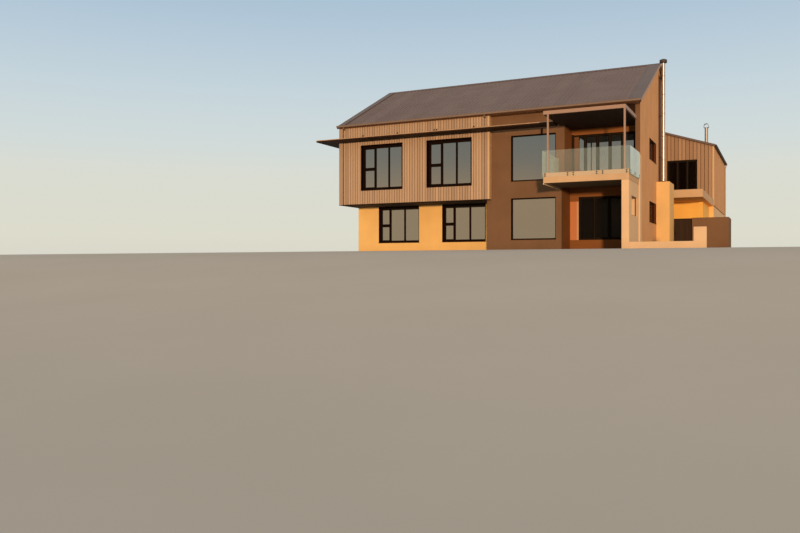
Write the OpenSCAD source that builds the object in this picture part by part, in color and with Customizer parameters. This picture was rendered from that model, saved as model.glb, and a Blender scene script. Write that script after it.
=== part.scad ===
// Two-storey beach house: a long main block under a pitched metal roof, a clad
// box that oversails the ground floor, a covered balcony on a side wall, and a
// rear wing behind a roof terrace. Millimetres, +Z up. The seaward front faces -Y.
// House coordinates are measured from the setting-out corner: X from the outer
// face of the right gable, Y from the face of the plastered front, Z from the
// ground floor. place() moves them so that the origin is under the middle.

/* [Levels] */
// Ground floor above the lowest ground
plinth_h = 600; // [500:50:900]
// Upper floor above the ground floor
storey_h = 2930; // [2850:10:3100]
// Thickness of the floor slabs
slab_t = 300; // [250:10:350]
// Top edge of the roof at the front eave, above the ground floor
eave_h = 6450; // [6350:10:6600]
// Head height of the ground-floor windows and doors
head_h = 2100; // [2040:10:2150]

/* [Main block] */
// Length of the main block between the outer faces of its gables
house_len = 16200; // [15600:100:17000]
// Depth of the main block from the plastered front to the rear wall
house_depth = 12000; // [11600:100:12400]
// Thickness of the outer walls
wall_t = 220; // [200:10:260]
// Depth to which the front ground-floor wall is set back under the box
undercut = 1800; // [1500:50:2000]
// Distance by which the rear right corner is set in from the gable
rear_step = 1000; // [900:50:1200]
// Depth of the right gable before that step
gable_depth = 7300; // [7200:50:8000]

/* [Clad box] */
// Distance by which the clad box stands out from the plastered front
box_out = 300; // [250:10:350]
// Right-hand end of the clad box, from the right gable
box_end = 7410; // [7200:10:7600]
// Underside of the clad box above the ground floor
box_bottom = 2080; // [2040:10:2150]
// Width of the end face of the left gable beside the box
fin_w = 220; // [200:10:260]
// Distance by which that end face stands out from the box
fin_out = 60; // [20:10:100]

/* [Windows and doors] */
// Width of the tall upper front windows
upper_win_w = 2490; // [2300:10:2600]
// Height of the tall upper front windows
upper_win_h = 2440; // [2300:10:2450]
// Sill of the upper front windows below the upper floor
upper_win_drop = 80; // [0:10:100]
// Width of the ground-floor windows under the box
lower_win_w = 2550; // [2400:10:2700]
// Centre of the right-hand front window, from the right gable
win_centre = 9620; // [9500:10:9700]
// Distance between the centres of the two front windows
win_pitch = 3960; // [3800:10:4000]
// Width of the big fixed windows in the plastered front
picture_w = 2300; // [2100:10:2400]
// Height of the upper fixed window
picture_h = 2310; // [2200:10:2350]
// Centre of the fixed windows, from the right gable
picture_centre = 5190; // [5100:10:5300]
// Width of the low windows in the gables
side_win_w = 2300; // [2000:10:2400]
// Height of the low windows in the gables
side_win_h = 1060; // [900:10:1100]
// Near edge of the gable windows behind the plastered front
side_win_y = 2830; // [2700:10:2900]
// Head of the lower gable windows above the ground floor
side_win_head = 1960; // [1900:10:2050]
// Depth of a window or door frame, front to back
frame_d = 70; // [60:5:90]
// Face width of a frame member
frame_w = 70; // [50:5:90]
// Thickness of the glass
glass_t = 24; // [18:2:30]
// Face width of the frames of the big fixed windows
picture_frame_w = 50; // [40:5:70]
// Depth of the reveal in front of a frame
reveal = 120; // [80:10:130]

/* [Balcony] */
// Projection of the balcony from the plastered front
balcony_out = 3000; // [2600:50:3200]
// Left end of the balcony, from the right gable
balcony_w = 3830; // [3800:10:3950]
// Height of the balcony's edge
balcony_edge = 460; // [420:10:500]
// Thickness of the wall that carries the balcony
balcony_wall_t = 320; // [280:10:360]
// Front of the slot in that wall, from the balcony's edge
slot_y = 660; // [500:10:800]
// Width of the slot
slot_w = 1480; // [1200:10:1600]
// Sill of the slot above the ground floor
slot_sill = 940; // [900:10:1000]
// Height of the slot
slot_h = 870; // [800:10:950]
// Width of the recess behind the balcony, from the right gable
recess_w = 3600; // [3500:10:3700]
// Depth of the recess behind the plastered front
recess_d = 1450; // [1300:10:1600]
// Width of the ground-floor recess, from the right gable
porch_w = 3750; // [3720:10:3900]
// Depth of the ground-floor recess behind the plastered front
porch_d = 1700; // [1600:10:1900]
// Width of the pier at the rear end of the balcony's glass
end_pier_w = 450; // [400:10:500]
// Distance by which that pier stands out from the balcony's wall
end_pier_out = 60; // [40:5:65]
// Top of that pier above the upper floor
end_pier_h = 950; // [850:10:1000]
// Ceiling of the balcony above the upper floor
ceiling_h = 2680; // [2600:10:2700]
// Depth of the portal's beams
beam_h = 165; // [140:5:220]
// Width of the portal's steel posts
post_w = 80; // [70:10:130]
// Top of the glass balustrade above the upper floor
balustrade_h = 1020; // [950:10:1100]
// Thickness of the balustrade glass
balustrade_t = 18; // [12:1:22]
// Clear space between the balcony's edge and its glass
stand_off = 40; // [30:5:60]
// Bottom of the balustrade glass below the upper floor
glass_drop = 200; // [180:10:260]

/* [Canopy] */
// Projection of the canopy beyond the plastered front
canopy_out = 1200; // [1000:50:1300]
// Projection of the canopy beyond the left gable
canopy_side = 1000; // [800:50:1100]
// Right-hand end of the canopy, from the right gable
canopy_end = 3850; // [3840:10:4000]
// Underside of the canopy above the ground floor
canopy_z = 5530; // [5480:10:5560]
// Thickness of the canopy
canopy_t = 100; // [80:10:120]
// Distance by which the canopy runs back along the left gable
canopy_back = 2600; // [2000:100:3000]

/* [Roofs] */
// Pitch of the main roof, in degrees
roof_pitch = 26.1; // [23:0.1:27]
// Thickness of a roof, square to its slope
roof_t = 100; // [80:10:160]
// Distance from the plastered front to the roof's front edge
eave_out = 420; // [400:10:480]
// Overhang of a roof past a gable
verge_out = 100; // [60:10:140]
// Width of the gutters
gutter_w = 110; // [90:10:130]
// Height of the gutters
gutter_h = 100; // [80:10:120]
// Pitch of the wing's roof, in degrees
wing_pitch = 18; // [16:0.1:20]
// Top edge of the wing's roof at its eave, above the ground floor
wing_eave_h = 6420; // [6350:10:6450]
// Overhang of the wing's roof past its side walls
wing_eave_out = 80; // [60:10:200]
// Overhang of the wing's roof past its front wall
wing_front_out = 150; // [100:10:450]

/* [Wing and terrace] */
// Distance by which the wing stands out past the right gable
wing_out = 2070; // [1900:10:2200]
// Width of the wing
wing_w = 8000; // [7600:100:8400]
// Front wall of the wing behind the plastered front
wing_y = 15500; // [15200:50:15800]
// Length of the wing behind its front wall
wing_len = 10500; // [9500:100:11000]
// Front edge of the roof terrace behind the plastered front
terrace_y = 7950; // [7900:10:8300]
// Height of the terrace's edge
terrace_edge = 430; // [400:10:460]
// Distance by which the terrace stands out past the side of the room below
terrace_over = 270; // [250:10:400]
// Front of the room below the terrace, behind the plastered front
terrace_room_y = 11300; // [11000:100:12800]
// Width of the glazed door to the terrace
terrace_door_w = 1840; // [1700:10:2000]
// Height of the glazed door to the terrace
terrace_door_h = 2620; // [2400:10:2700]
// Right-hand side of that door, from the wing's right face
terrace_door_x = 970; // [850:10:1050]

/* [Chimneys] */
// Distance by which the chimney block stands out from the gable
chimney_out = 670; // [600:10:750]
// Front face of the chimney block behind the plastered front
chimney_y = 5220; // [5210:10:5400]
// Width of the chimney block along the gable
chimney_w = 1840; // [1600:10:1900]
// Top of the chimney block above the ground floor
chimney_h = 3150; // [3000:10:3300]
// Outer radius of the flue
flue_r = 95; // [80:5:110]
// Wall of the flues
flue_wall = 4; // [3:0.5:6]
// Gap between the gable's face and the flue
flue_gap = 140; // [120:5:200]
// Top of the flue above the ground floor
flue_h = 9640; // [9500:10:9900]
// Outer radius of the wing's flue
wing_flue_r = 110; // [90:5:130]
// Top of the wing's flue above the ground floor
wing_flue_h = 8300; // [8100:10:8500]
// Centre of the wing's flue, from the wing's right face
wing_flue_in = 800; // [700:10:900]
// Centre of the wing's flue behind the wing's front wall
wing_flue_back = 4600; // [4000:50:5200]

/* [Garden walls] */
// Right-hand end of the yard wall, from the right gable
yard_reach = 3460; // [3200:10:3700]
// Top of the yard wall above the ground floor
yard_h = 1290; // [1200:10:1400]
// Thickness of the garden walls
yard_t = 200; // [180:10:240]
// Width of the yard gate's opening
gate_w = 960; // [900:10:1000]
// Clearance round the gate
gate_gap = 10; // [8:1:15]
// Thickness of the gate
gate_t = 45; // [40:1:60]
// Depth of the yard wall's return
yard_return = 2200; // [1800:100:2600]
// Length of the low terrace wall from the balcony wall
low_wall_len = 2650; // [2400:10:2900]
// Top of the low terrace wall below the ground floor
low_wall_drop = 270; // [200:10:320]
// Width of the pier at the end of the low wall
pier_w = 510; // [450:10:560]
// Top of that pier above the ground floor
pier_h = 330; // [250:10:400]

/* [Hidden] */

plaster = "peru";
cream = "burlywood";
cladding = "tan";
sheeting = "dimgray";
dark_frame = "black";
steel = "silver";
concrete = "wheat";
pane = "lightblue";

front_glass_y = -balcony_out - stand_off - balustrade_t;
wing_end = wing_y + wing_len;
right_x = (house_len + canopy_side - yard_reach) / 2;
front_y = -(front_glass_y + wing_end + verge_out) / 2;

rise = tan(roof_pitch);
roof_v = roof_t / cos(roof_pitch);
ridge_y = house_depth / 2;
ridge_h = eave_h + (ridge_y + eave_out) * rise;
wing_rise = tan(wing_pitch);
wing_v = roof_t / cos(wing_pitch);
wing_left = wing_out - wing_w;
wing_ridge_x = wing_out - wing_w / 2;
wing_ridge_h = wing_eave_h + (wing_w / 2 + wing_eave_out) * wing_rise;
slab_z = storey_h - slab_t;
ceiling_z = storey_h + ceiling_h;
upper_sill = storey_h - upper_win_drop;
upper_head = upper_sill + upper_win_h;
picture_rise = 30;
picture_sill = storey_h + picture_rise;
door_h = 2370;
door_head = storey_h + door_h;
yard_y = chimney_y + chimney_w - yard_t;
gate_x = chimney_out;
flue_x = flue_gap + flue_r;
flue_y = chimney_y + chimney_w / 2;
gutter_drop = 20;
gutter_stop = 10;
side_win_rise = 260;
upper_side_head = side_win_head + storey_h + side_win_rise;
jamb_left = 20;
jamb_right = 225;
door_left = -recess_w + jamb_left;
door_w = recess_w - jamb_left - wall_t - jamb_right;
door_leaves = 5;
porch_jamb_left = 450;
porch_jamb_right = 60;
porch_door_left = -porch_w + porch_jamb_left;
porch_door_w = porch_w - porch_jamb_left - wall_t - porch_jamb_right;
porch_door_h = 2190;
porch_leaves = 4;
terrace_leaves = 3;
door_right = wing_out - terrace_door_x;
wing_flue_x = wing_out - wing_flue_in;
wing_flue_y = wing_y + wing_flue_back;
balustrade_left = -balcony_w - stand_off;
panel_w = (balcony_w + 2 * stand_off) / 3;
panel_gap = 20;
side_pane_end = 60;
pier_gap = 10;
glass_bottom = storey_h - glass_drop;
clamp_r = 22;
clamp_inset = 130;
clamp_drop = 50;
clamp_pitch = 90;
beam_past = 170;
post_left = -balcony_w + beam_past;
beam_right = -150;
post_right = beam_right - post_w;
post_back = 10;
ceiling_t = 120;
header_t = 60;
soffit_board_t = 100;
upper_narrow = 0.26;
lower_narrow = 0.21;
lip = 50;
lip_drop = 60;
threshold_h = 40;
pin_r = 8;
hinge_h = 60;
hinge_t = 6;
hinge_play = 1;
hinge_bore_gap = 0.3;
hinge_inset = 400;
hinge_plate = 90;
hinge_x = gate_x + gate_w - gate_gap / 2;
pin_out = 20;
strap_l = 240;
hinge_y = yard_y + yard_t + pin_out;
hinge_levels = [-plinth_h + hinge_inset, yard_h - hinge_inset];
cap_w = 220;
cap_t = 25;
brim_r = 2.1 * flue_r;
brim_foot_r = 0.8 * brim_r;
brim_tip_r = 0.2 * brim_r;
brim_foot_h = 40;
brim_side_h = 120;
brim_cone_h = 80;
hood_r = 160;
hood_l = 260;
hood_t = 12;
hood_leg = 130;
verge_t = 20;
gutter_t = 4;
joint = 2;
through = 10;

// Top and underside of the main roof at a distance behind the plastered front
function roof_top(y) = ridge_h - abs(y - ridge_y) * rise;
function roof_under(y) = roof_top(y) - roof_v;
// Top and underside of the wing's roof at a distance from the right gable
function wing_top(x) = wing_ridge_h - abs(x - wing_ridge_x) * wing_rise;
function wing_under(x) = wing_top(x) - wing_v;

module place() translate([right_x, front_y, plinth_h]) children();

// Rectangular solid between pairs of coordinates
module block(x, y, z)
    translate([x[0], y[0], z[0]]) cube([x[1] - x[0], y[1] - y[0], z[1] - z[0]]);

// Outline in plan, run from one level to another
module plate(z)
    translate([0, 0, z[0]]) linear_extrude(z[1] - z[0]) children();

// Outline in Y and Z, run from one X to another
module along_x(x)
    translate([x[0], 0, 0]) rotate([90, 0, 90]) linear_extrude(x[1] - x[0]) children();

// Outline in X and Z, run from one Y to another
module along_y(y)
    translate([0, y[1], 0]) rotate([90, 0, 0]) linear_extrude(y[1] - y[0]) children();

// Wall across the house between two Y, from a level up to the underside of the roof
module wall_under_roof(x, y, bottom)
    along_x(x) polygon([
        [y[0], bottom], [y[1], bottom], [y[1], roof_under(y[1]) - joint], [y[0], roof_under(y[0]) - joint]
    ]);

// Wall along the house's depth, with its top under both slopes of the main roof
module gable_wall(x, y, bottom)
    along_x(x) polygon(concat(
        [[y[0], bottom], [y[1], bottom], [y[1], roof_under(y[1]) - joint]],
        y[1] > ridge_y ? [[ridge_y, roof_under(ridge_y) - joint]] : [],
        [[y[0], roof_under(y[0]) - joint]]
    ));

// The two front windows' centres, measured in X
window_centres = [-win_centre, -win_centre - win_pitch];

// Frame in the XZ plane with its lower left corner at the origin and its face at
// y = 0. Cells lists the clear openings as [left, bottom, width, height].
module framed(size, cells)
    difference() {
        cube([size[0], frame_d, size[1]]);
        for (c = cells)
            translate([c[0], -through, c[1]]) cube([c[2], frame_d + 2 * through, c[3]]);
    }

// Cells of a window with a narrow opening light beside two equal panes
head_member = 150;
sill_member = 110;
sash_w = 130;
function three_lights(w, h, share) =
    let (
        narrow = share * w,
        wide = (w - narrow - sash_w - 3 * frame_w) / 2,
        clear_h = h - head_member - sill_member,
        low = 0.46 * clear_h,
        x2 = sash_w + narrow + frame_w,
        x3 = x2 + wide + frame_w
    ) [
        [sash_w, sill_member, narrow, low],
        [sash_w, sill_member + low + frame_w, narrow, clear_h - low - frame_w],
        [x2, sill_member, wide, clear_h],
        [x3, sill_member, wide, clear_h]
    ];

// Cells of a frame with equal panes side by side
function equal_lights(w, h, count, member = frame_w) =
    let (clear_w = (w - (count + 1) * member) / count)
        [for (i = [0:count - 1]) [member + i * (clear_w + member), member, clear_w, h - 2 * member]];

// Cell of a big fixed window
function one_light(h) = equal_lights(picture_w, h, 1, picture_frame_w);

// Sheets of glass that fill cells, held in the middle of the frame
module glazed(cells)
    for (c = cells)
        translate([c[0], (frame_d - glass_t) / 2, c[1]]) cube([c[2], glass_t, c[3]]);

// Turns what faces -Y so that it faces +X, -X or +Y, about the origin
module facing(side)
    rotate(side == "right" ? 90 : side == "left" ? -90 : side == "rear" ? 180 : 0) children();

// Corners of a floor inside the rear walls, from the left to the right gable
rear_corners = [
    [-wall_t, gable_depth - wall_t], [-rear_step - wall_t, gable_depth - wall_t],
    [-rear_step - wall_t, house_depth - wall_t], [-house_len + wall_t, house_depth - wall_t]
];

module ground_floor() color(concrete) place()
    plate([-slab_t, 0]) polygon(concat([
        [-house_len + wall_t, undercut + wall_t], [-box_end, undercut + wall_t], [-box_end, wall_t],
        [-porch_w - wall_t, wall_t], [-porch_w - wall_t, porch_d + wall_t], [-wall_t, porch_d + wall_t]
    ], rear_corners));

module upper_floor() color(concrete) place()
    plate([slab_z, storey_h]) polygon(concat([
        [-house_len + wall_t, 0], [-box_end, 0], [-box_end, wall_t],
        [-recess_w - wall_t, wall_t], [-recess_w - wall_t, recess_d + wall_t], [-wall_t, recess_d + wall_t]
    ], rear_corners));

module wing_floors() color(concrete) place()
    for (z = [-slab_t, slab_z]) {
        block([wing_left + wall_t, wing_out - wall_t], [wing_y + wall_t, wing_end - wall_t],
            [z, z + slab_t]);
        block([wing_left + wall_t, -rear_step - wall_t], [house_depth, wing_y + wall_t], [z, z + slab_t]);
    }

module lower_front_wall() color(cream) place()
    difference() {
        block([-house_len, -box_end - wall_t], [undercut, undercut + wall_t], [-plinth_h, slab_z]);
        block([-house_len - through, -house_len + wall_t],
            [undercut - through, undercut + wall_t + through], [box_bottom, slab_z + through]);
        for (x = window_centres)
            block([x - lower_win_w / 2, x + lower_win_w / 2],
                [undercut - through, undercut + wall_t + through], [0, head_h]);
    }

module clad_box() color(cladding) place()
    difference() {
        wall_under_roof([-house_len + fin_w, -box_end], [-box_out, 0], box_bottom);
        for (x = window_centres)
            block([x - upper_win_w / 2, x + upper_win_w / 2], [-box_out - through, through],
                [upper_sill, upper_head]);
    }

module box_soffit() color(plaster) place()
    block([-house_len + fin_w, -box_end - wall_t], [0, undercut],
        [box_bottom, box_bottom + soffit_board_t]);

module plastered_front() color(plaster) place()
    difference() {
        union() {
            wall_under_roof([-box_end, -recess_w], [0, wall_t], slab_z);
            block([-box_end - wall_t, -porch_w], [0, wall_t], [-plinth_h, slab_z]);
            block([-box_end - wall_t, -box_end], [wall_t, undercut + wall_t], [-plinth_h, slab_z]);
        }
        for (z = [[0, head_h], [picture_sill, picture_sill + picture_h]])
            block([-picture_centre - picture_w / 2, -picture_centre + picture_w / 2],
                [-through, wall_t + through], z);
    }

// Return wall and back wall of a recess, with one wide door from one distance to another
module recess(width, depth, z, door, head)
    difference() {
        union() {
            block([-width - wall_t, -width], [wall_t, depth + wall_t], z);
            block([-width, -wall_t], [depth, depth + wall_t], z);
        }
        block(door, [depth - through, depth + wall_t + through], head);
    }

module recess_walls() color(plaster) place() {
    recess(porch_w, porch_d, [-plinth_h, slab_z], [porch_door_left, porch_door_left + porch_door_w],
        [0, porch_door_h]);
    recess(recess_w, recess_d, [slab_z, ceiling_z], [door_left, door_left + door_w], [storey_h, door_head]);
}

module right_gable() color(plaster) place()
    difference() {
        gable_wall([-wall_t, 0], [0, gable_depth], -plinth_h);
        for (z = [side_win_head, upper_side_head])
            block([-wall_t - through, through], [side_win_y, side_win_y + side_win_w], [z - side_win_h, z]);
    }

module left_gable() color(cladding) place()
    difference() {
        gable_wall([-house_len, -house_len + wall_t], [-box_out - fin_out, house_depth], box_bottom);
        block([-house_len - through, -house_len + wall_t + through],
            [side_win_y, side_win_y + side_win_w], [upper_side_head - side_win_h, upper_side_head]);
    }

module left_lower_wall() color(cream) place()
    difference() {
        block([-house_len, -house_len + wall_t], [undercut + wall_t, house_depth], [-plinth_h, box_bottom]);
        block([-house_len - through, -house_len + wall_t + through],
            [side_win_y, side_win_y + side_win_w], [side_win_head - side_win_h, side_win_head]);
    }

module rear_wall() color(plaster) place()
    difference() {
        wall_under_roof([-house_len + wall_t, -rear_step - wall_t],
            [house_depth - wall_t, house_depth], -plinth_h);
        for (x = window_centres)
            for (z = [[0, head_h], [upper_sill, upper_head]])
                block([x - upper_win_w / 2, x + upper_win_w / 2],
                    [house_depth - wall_t - through, house_depth + through], z);
    }

module rear_step_walls() color(plaster) place() {
    block([-rear_step, -wall_t], [gable_depth - wall_t, gable_depth],
        [-plinth_h, roof_under(gable_depth) - joint]);
    gable_wall([-rear_step - wall_t, -rear_step], [gable_depth - wall_t, house_depth], -plinth_h);
}

module balcony_slab() color(concrete) place() {
    bottom = storey_h - balcony_edge;
    difference() {
        block([-balcony_w, 0], [-balcony_out, 0], [bottom, storey_h]);
        block([-balcony_w + lip, -balcony_wall_t - lip], [-balcony_out + lip, through],
            [bottom - through, bottom + lip_drop]);
    }
    block([-recess_w, -wall_t], [0, recess_d], [slab_z, storey_h]);
}

// Wall with a slot under the balcony's right end, and the pier that its glass runs up to
module balcony_wall() color(cream) place() {
    difference() {
        block([-balcony_wall_t, 0], [-balcony_out, 0], [-plinth_h, storey_h - balcony_edge]);
        block([-balcony_wall_t - through, through], [slot_y - balcony_out, slot_y + slot_w - balcony_out],
            [slot_sill, slot_sill + slot_h]);
    }
    block([0, end_pier_out], [-end_pier_w, 0], [-plinth_h, storey_h + end_pier_h]);
    block([-end_pier_out, 0], [-end_pier_w, 0], [storey_h, storey_h + end_pier_h]);
}

module balcony_ceiling() color(dark_frame) place() {
    block([-balcony_w + post_w, beam_right - post_w], [-balcony_out + post_w, 0],
        [ceiling_z, ceiling_z + ceiling_t]);
    block([-recess_w, -wall_t], [0, recess_d], [ceiling_z, ceiling_z + ceiling_t]);
    block([-recess_w, -wall_t], [0, header_t], [ceiling_z + ceiling_t, roof_under(0) - joint]);
}

module portal_frame() color(plaster) place() {
    for (x = [post_left, post_right])
        block([x, x + post_w], [-balcony_out + post_back, -balcony_out + post_back + post_w],
            [storey_h, ceiling_z]);
    block([-balcony_w, beam_right], [-balcony_out, -balcony_out + post_w], [ceiling_z, ceiling_z + beam_h]);
    for (x = [-balcony_w, beam_right - post_w])
        block([x, x + post_w], [-balcony_out + post_w, 0], [ceiling_z, ceiling_z + beam_h]);
}

// Length of the glass on the balcony's left (0) or right (1) side, with a gap after each pane
side_start = -balcony_out + panel_gap;
function side_run(side) =
    -side_start - (side == 0 ? side_pane_end : end_pier_w + pier_gap) + panel_gap;

module balustrade_glass() color(pane) place() {
    for (i = [0:2])
        translate([balustrade_left + i * panel_w, front_glass_y, 0])
            block([panel_gap / 2, panel_w - panel_gap / 2], [0, balustrade_t],
                [glass_bottom, storey_h + balustrade_h]);
    for (side = [0, 1])
        for (i = [0, 1]) {
            x = side == 0 ? balustrade_left - balustrade_t : stand_off;
            y = side_start + i * (side_run(side) / 2);
            block([x, x + balustrade_t], [y, y + side_run(side) / 2 - panel_gap],
                [glass_bottom, storey_h + balustrade_h]);
        }
}

// Round stand-offs in pairs, one above the other, between the balcony's edge and its glass
module glass_clamps() color(dark_frame) place()
    for (z = [storey_h - clamp_drop, storey_h - clamp_drop - clamp_pitch]) {
        for (i = [0:2])
            for (x = [clamp_inset, panel_w - clamp_inset])
                translate([balustrade_left + i * panel_w + x, -balcony_out, z])
                    rotate([90, 0, 0]) cylinder(h = stand_off, r = clamp_r, $fn = 24);
        for (side = [0, 1])
            for (i = [0, 1])
                for (y = [clamp_inset, side_run(side) / 2 - panel_gap - clamp_inset])
                    translate([side == 0 ? balustrade_left : 0, side_start + i * side_run(side) / 2 + y, z])
                        rotate([0, 90, 0]) cylinder(h = stand_off, r = clamp_r, $fn = 24);
    }

module canopy() color(dark_frame) place()
    difference() {
        block([-house_len - canopy_side, -canopy_end], [-canopy_out, canopy_back],
            [canopy_z, canopy_z + canopy_t]);
        block([-house_len, -canopy_end + through], [-box_out - fin_out, canopy_back + through],
            [canopy_z - through, canopy_z + canopy_t + through]);
    }

module front_roof() color(sheeting) place()
    along_x([-house_len - verge_out, verge_out]) polygon([
        [-eave_out, roof_under(-eave_out)], [ridge_y, roof_under(ridge_y)],
        [ridge_y, ridge_h], [-eave_out, roof_top(-eave_out)]
    ]);

module rear_roof() color(sheeting) place()
    difference() {
        along_x([-house_len - verge_out, verge_out]) polygon([
            [ridge_y, roof_under(ridge_y)], [house_depth + eave_out, roof_under(house_depth + eave_out)],
            [house_depth + eave_out, roof_top(house_depth + eave_out)], [ridge_y, ridge_h]
        ]);
        block([-rear_step + verge_out, verge_out + through],
            [gable_depth + verge_out, house_depth + 2 * eave_out], [0, 2 * ridge_h]);
    }

module roof_flashings() color(sheeting) place() {
    along_x([-house_len - verge_out, verge_out]) polygon([
        [ridge_y - cap_w, ridge_h - cap_w * rise + joint], [ridge_y, ridge_h + joint],
        [ridge_y + cap_w, ridge_h - cap_w * rise + joint],
        [ridge_y + cap_w, ridge_h - cap_w * rise + cap_t],
        [ridge_y, ridge_h + cap_t], [ridge_y - cap_w, ridge_h - cap_w * rise + cap_t]
    ]);
    for (x = [-house_len - verge_out - verge_t, verge_out])
        along_x([x, x + verge_t]) polygon([
            [-eave_out, roof_under(-eave_out)], [ridge_y, roof_under(ridge_y)],
            [ridge_y, ridge_h + cap_t], [-eave_out, roof_top(-eave_out) + cap_t]
        ]);
}

// Open channel between pairs of coordinates, with its rim at the top of z
module channel(x, y, z)
    difference() {
        block(x, y, z);
        block([x[0] + gutter_t, x[1] - gutter_t], [y[0] + gutter_t, y[1] - gutter_t],
            [z[0] + gutter_t, z[1] + through]);
    }

module gutters() color(sheeting) place() {
    rim = eave_h - gutter_drop;
    wing_rim = wing_eave_h - gutter_drop;
    rear_eave = house_depth + eave_out;
    channel([-house_len - verge_out, verge_out], [-eave_out - gutter_w, -eave_out], [rim - gutter_h, rim]);
    channel([-house_len - verge_out, wing_left - wing_eave_out - gutter_w - gutter_stop],
        [rear_eave, rear_eave + gutter_w], [rim - gutter_h, rim]);
    channel([wing_out + wing_eave_out, wing_out + wing_eave_out + gutter_w],
        [wing_y - wing_front_out, wing_end + verge_out], [wing_rim - gutter_h, wing_rim]);
    channel([wing_left - wing_eave_out - gutter_w, wing_left - wing_eave_out],
        [rear_eave, wing_end + verge_out], [wing_rim - gutter_h, wing_rim]);
}

module chimney_block() color(cream) place()
    block([0, chimney_out], [chimney_y, chimney_y + chimney_w], [-plinth_h, chimney_h]);

module flue() color(steel) place()
    translate([flue_x, flue_y, chimney_h])
        difference() {
            cylinder(h = flue_h - chimney_h, r = flue_r, $fn = 48);
            translate([0, 0, -through])
                cylinder(h = flue_h - chimney_h + 2 * through, r = flue_r - flue_wall, $fn = 48);
        }

// Solid arch of a radius and a length, on legs that stand on the hood's base
module hood(r, length)
    translate([0, length / 2, 0]) rotate([90, 0, 0]) linear_extrude(length) {
        translate([0, hood_leg]) difference() {
            circle(r = r, $fn = 48);
            translate([-r, -2 * r]) square(2 * r);
        }
        translate([-r, hood_t]) square([2 * r, hood_leg - hood_t]);
    }

// Low drum with a shallow cone over the chimney's flue, and an arched hood over the wing's
module flue_cap() color(dark_frame) place() {
    translate([flue_x, flue_y, flue_h]) {
        cylinder(h = brim_foot_h, r1 = brim_foot_r, r2 = brim_r, $fn = 48);
        translate([0, 0, brim_foot_h]) cylinder(h = brim_side_h, r = brim_r, $fn = 48);
        translate([0, 0, brim_foot_h + brim_side_h])
            cylinder(h = brim_cone_h, r1 = brim_r, r2 = brim_tip_r, $fn = 48);
    }
    translate([wing_flue_x, wing_flue_y, wing_flue_h]) {
        difference() {
            translate([-hood_r, -hood_l / 2, 0]) cube([2 * hood_r, hood_l, hood_t]);
            translate([0, 0, -through])
                cylinder(h = hood_t + 2 * through, r = wing_flue_r - flue_wall, $fn = 48);
        }
        difference() {
            hood(hood_r, hood_l);
            hood(hood_r - hood_t, hood_l + 2 * through);
        }
    }
}

// Everything below the top of the main roof's rear slope, left of the stepped corner
module under_main_roof()
    along_x([-house_len - verge_out, -rear_step + verge_out]) polygon([
        [0, -plinth_h], [house_depth, -plinth_h], [house_depth, 0],
        [house_depth + eave_out, eave_h - 2 * roof_v],
        [house_depth + eave_out, roof_top(house_depth + eave_out)],
        [ridge_y, ridge_h], [0, roof_top(0)]
    ]);

// Slope of the wing's roof space between two X, run from one Y to another
module wing_wall(x, y, bottom)
    along_y(y) polygon(concat(
        [[x[0], bottom], [x[1], bottom], [x[1], wing_under(x[1]) - joint]],
        x[0] < wing_ridge_x && x[1] > wing_ridge_x
            ? [[wing_ridge_x, wing_under(wing_ridge_x) - joint]] : [],
        [[x[0], wing_under(x[0]) - joint]]
    ));

module wing_front_wall() color(cladding) place()
    difference() {
        wing_wall([-rear_step - wall_t, wing_out - wall_t], [wing_y, wing_y + wall_t], -plinth_h);
        block([door_right - terrace_door_w, door_right], [wing_y - through, wing_y + wall_t + through],
            [storey_h, storey_h + terrace_door_h]);
    }

module wing_side_walls() color(cladding) place()
    difference() {
        union() {
            wing_wall([wing_out - wall_t, wing_out], [wing_y, wing_end], -plinth_h);
            wing_wall([wing_left, wing_left + wall_t], [house_depth, wing_end], -plinth_h);
            wing_wall([-rear_step - wall_t, -rear_step], [house_depth, wing_y], -plinth_h);
        }
        under_main_roof();
    }

module wing_rear_wall() color(cladding) place()
    difference() {
        wing_wall([wing_left + wall_t, wing_out - wall_t], [wing_end - wall_t, wing_end], -plinth_h);
        for (z = [side_win_head, upper_side_head])
            block([wing_ridge_x - side_win_w / 2, wing_ridge_x + side_win_w / 2],
                [wing_end - wall_t - through, wing_end + through], [z - side_win_h, z]);
    }

module wing_roof() color(sheeting) place() {
    left = wing_left - wing_eave_out;
    right = wing_out + wing_eave_out;
    difference() {
        along_y([ridge_y, wing_end + verge_out]) polygon([
            [left, wing_under(left)], [wing_ridge_x, wing_under(wing_ridge_x)], [right, wing_under(right)],
            [right, wing_top(right)], [wing_ridge_x, wing_ridge_h], [left, wing_top(left)]
        ]);
        under_main_roof();
        block([-rear_step + verge_out, right + through], [0, wing_y - wing_front_out], [0, 2 * ridge_h]);
    }
}

module terrace_slab() color(concrete) place()
    block([-rear_step, wing_out], [terrace_y, wing_y], [storey_h - terrace_edge, storey_h]);

module terrace_room() color(cream) place() {
    right = wing_out - terrace_over;
    top = storey_h - terrace_edge;
    block([-rear_step, right], [terrace_room_y, terrace_room_y + wall_t], [-plinth_h, top]);
    block([right - wall_t, right], [terrace_room_y + wall_t, wing_y], [-plinth_h, top]);
}

module wing_flue() color(steel) place() {
    foot = wing_top(wing_flue_x) + wing_flue_r * wing_rise;
    translate([wing_flue_x, wing_flue_y, foot])
        difference() {
            cylinder(h = wing_flue_h - foot, r = wing_flue_r, $fn = 48);
            translate([0, 0, -through])
                cylinder(h = wing_flue_h - foot + 2 * through, r = wing_flue_r - flue_wall, $fn = 48);
        }
}

// Places of the windows and doors: each sets its children, made in the XZ plane
module at_upper_windows()
    for (x = window_centres)
        translate([x - upper_win_w / 2, -box_out + reveal, upper_sill]) children();

module at_lower_windows()
    for (x = window_centres)
        translate([x - lower_win_w / 2, undercut + reveal, 0]) children();

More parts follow.
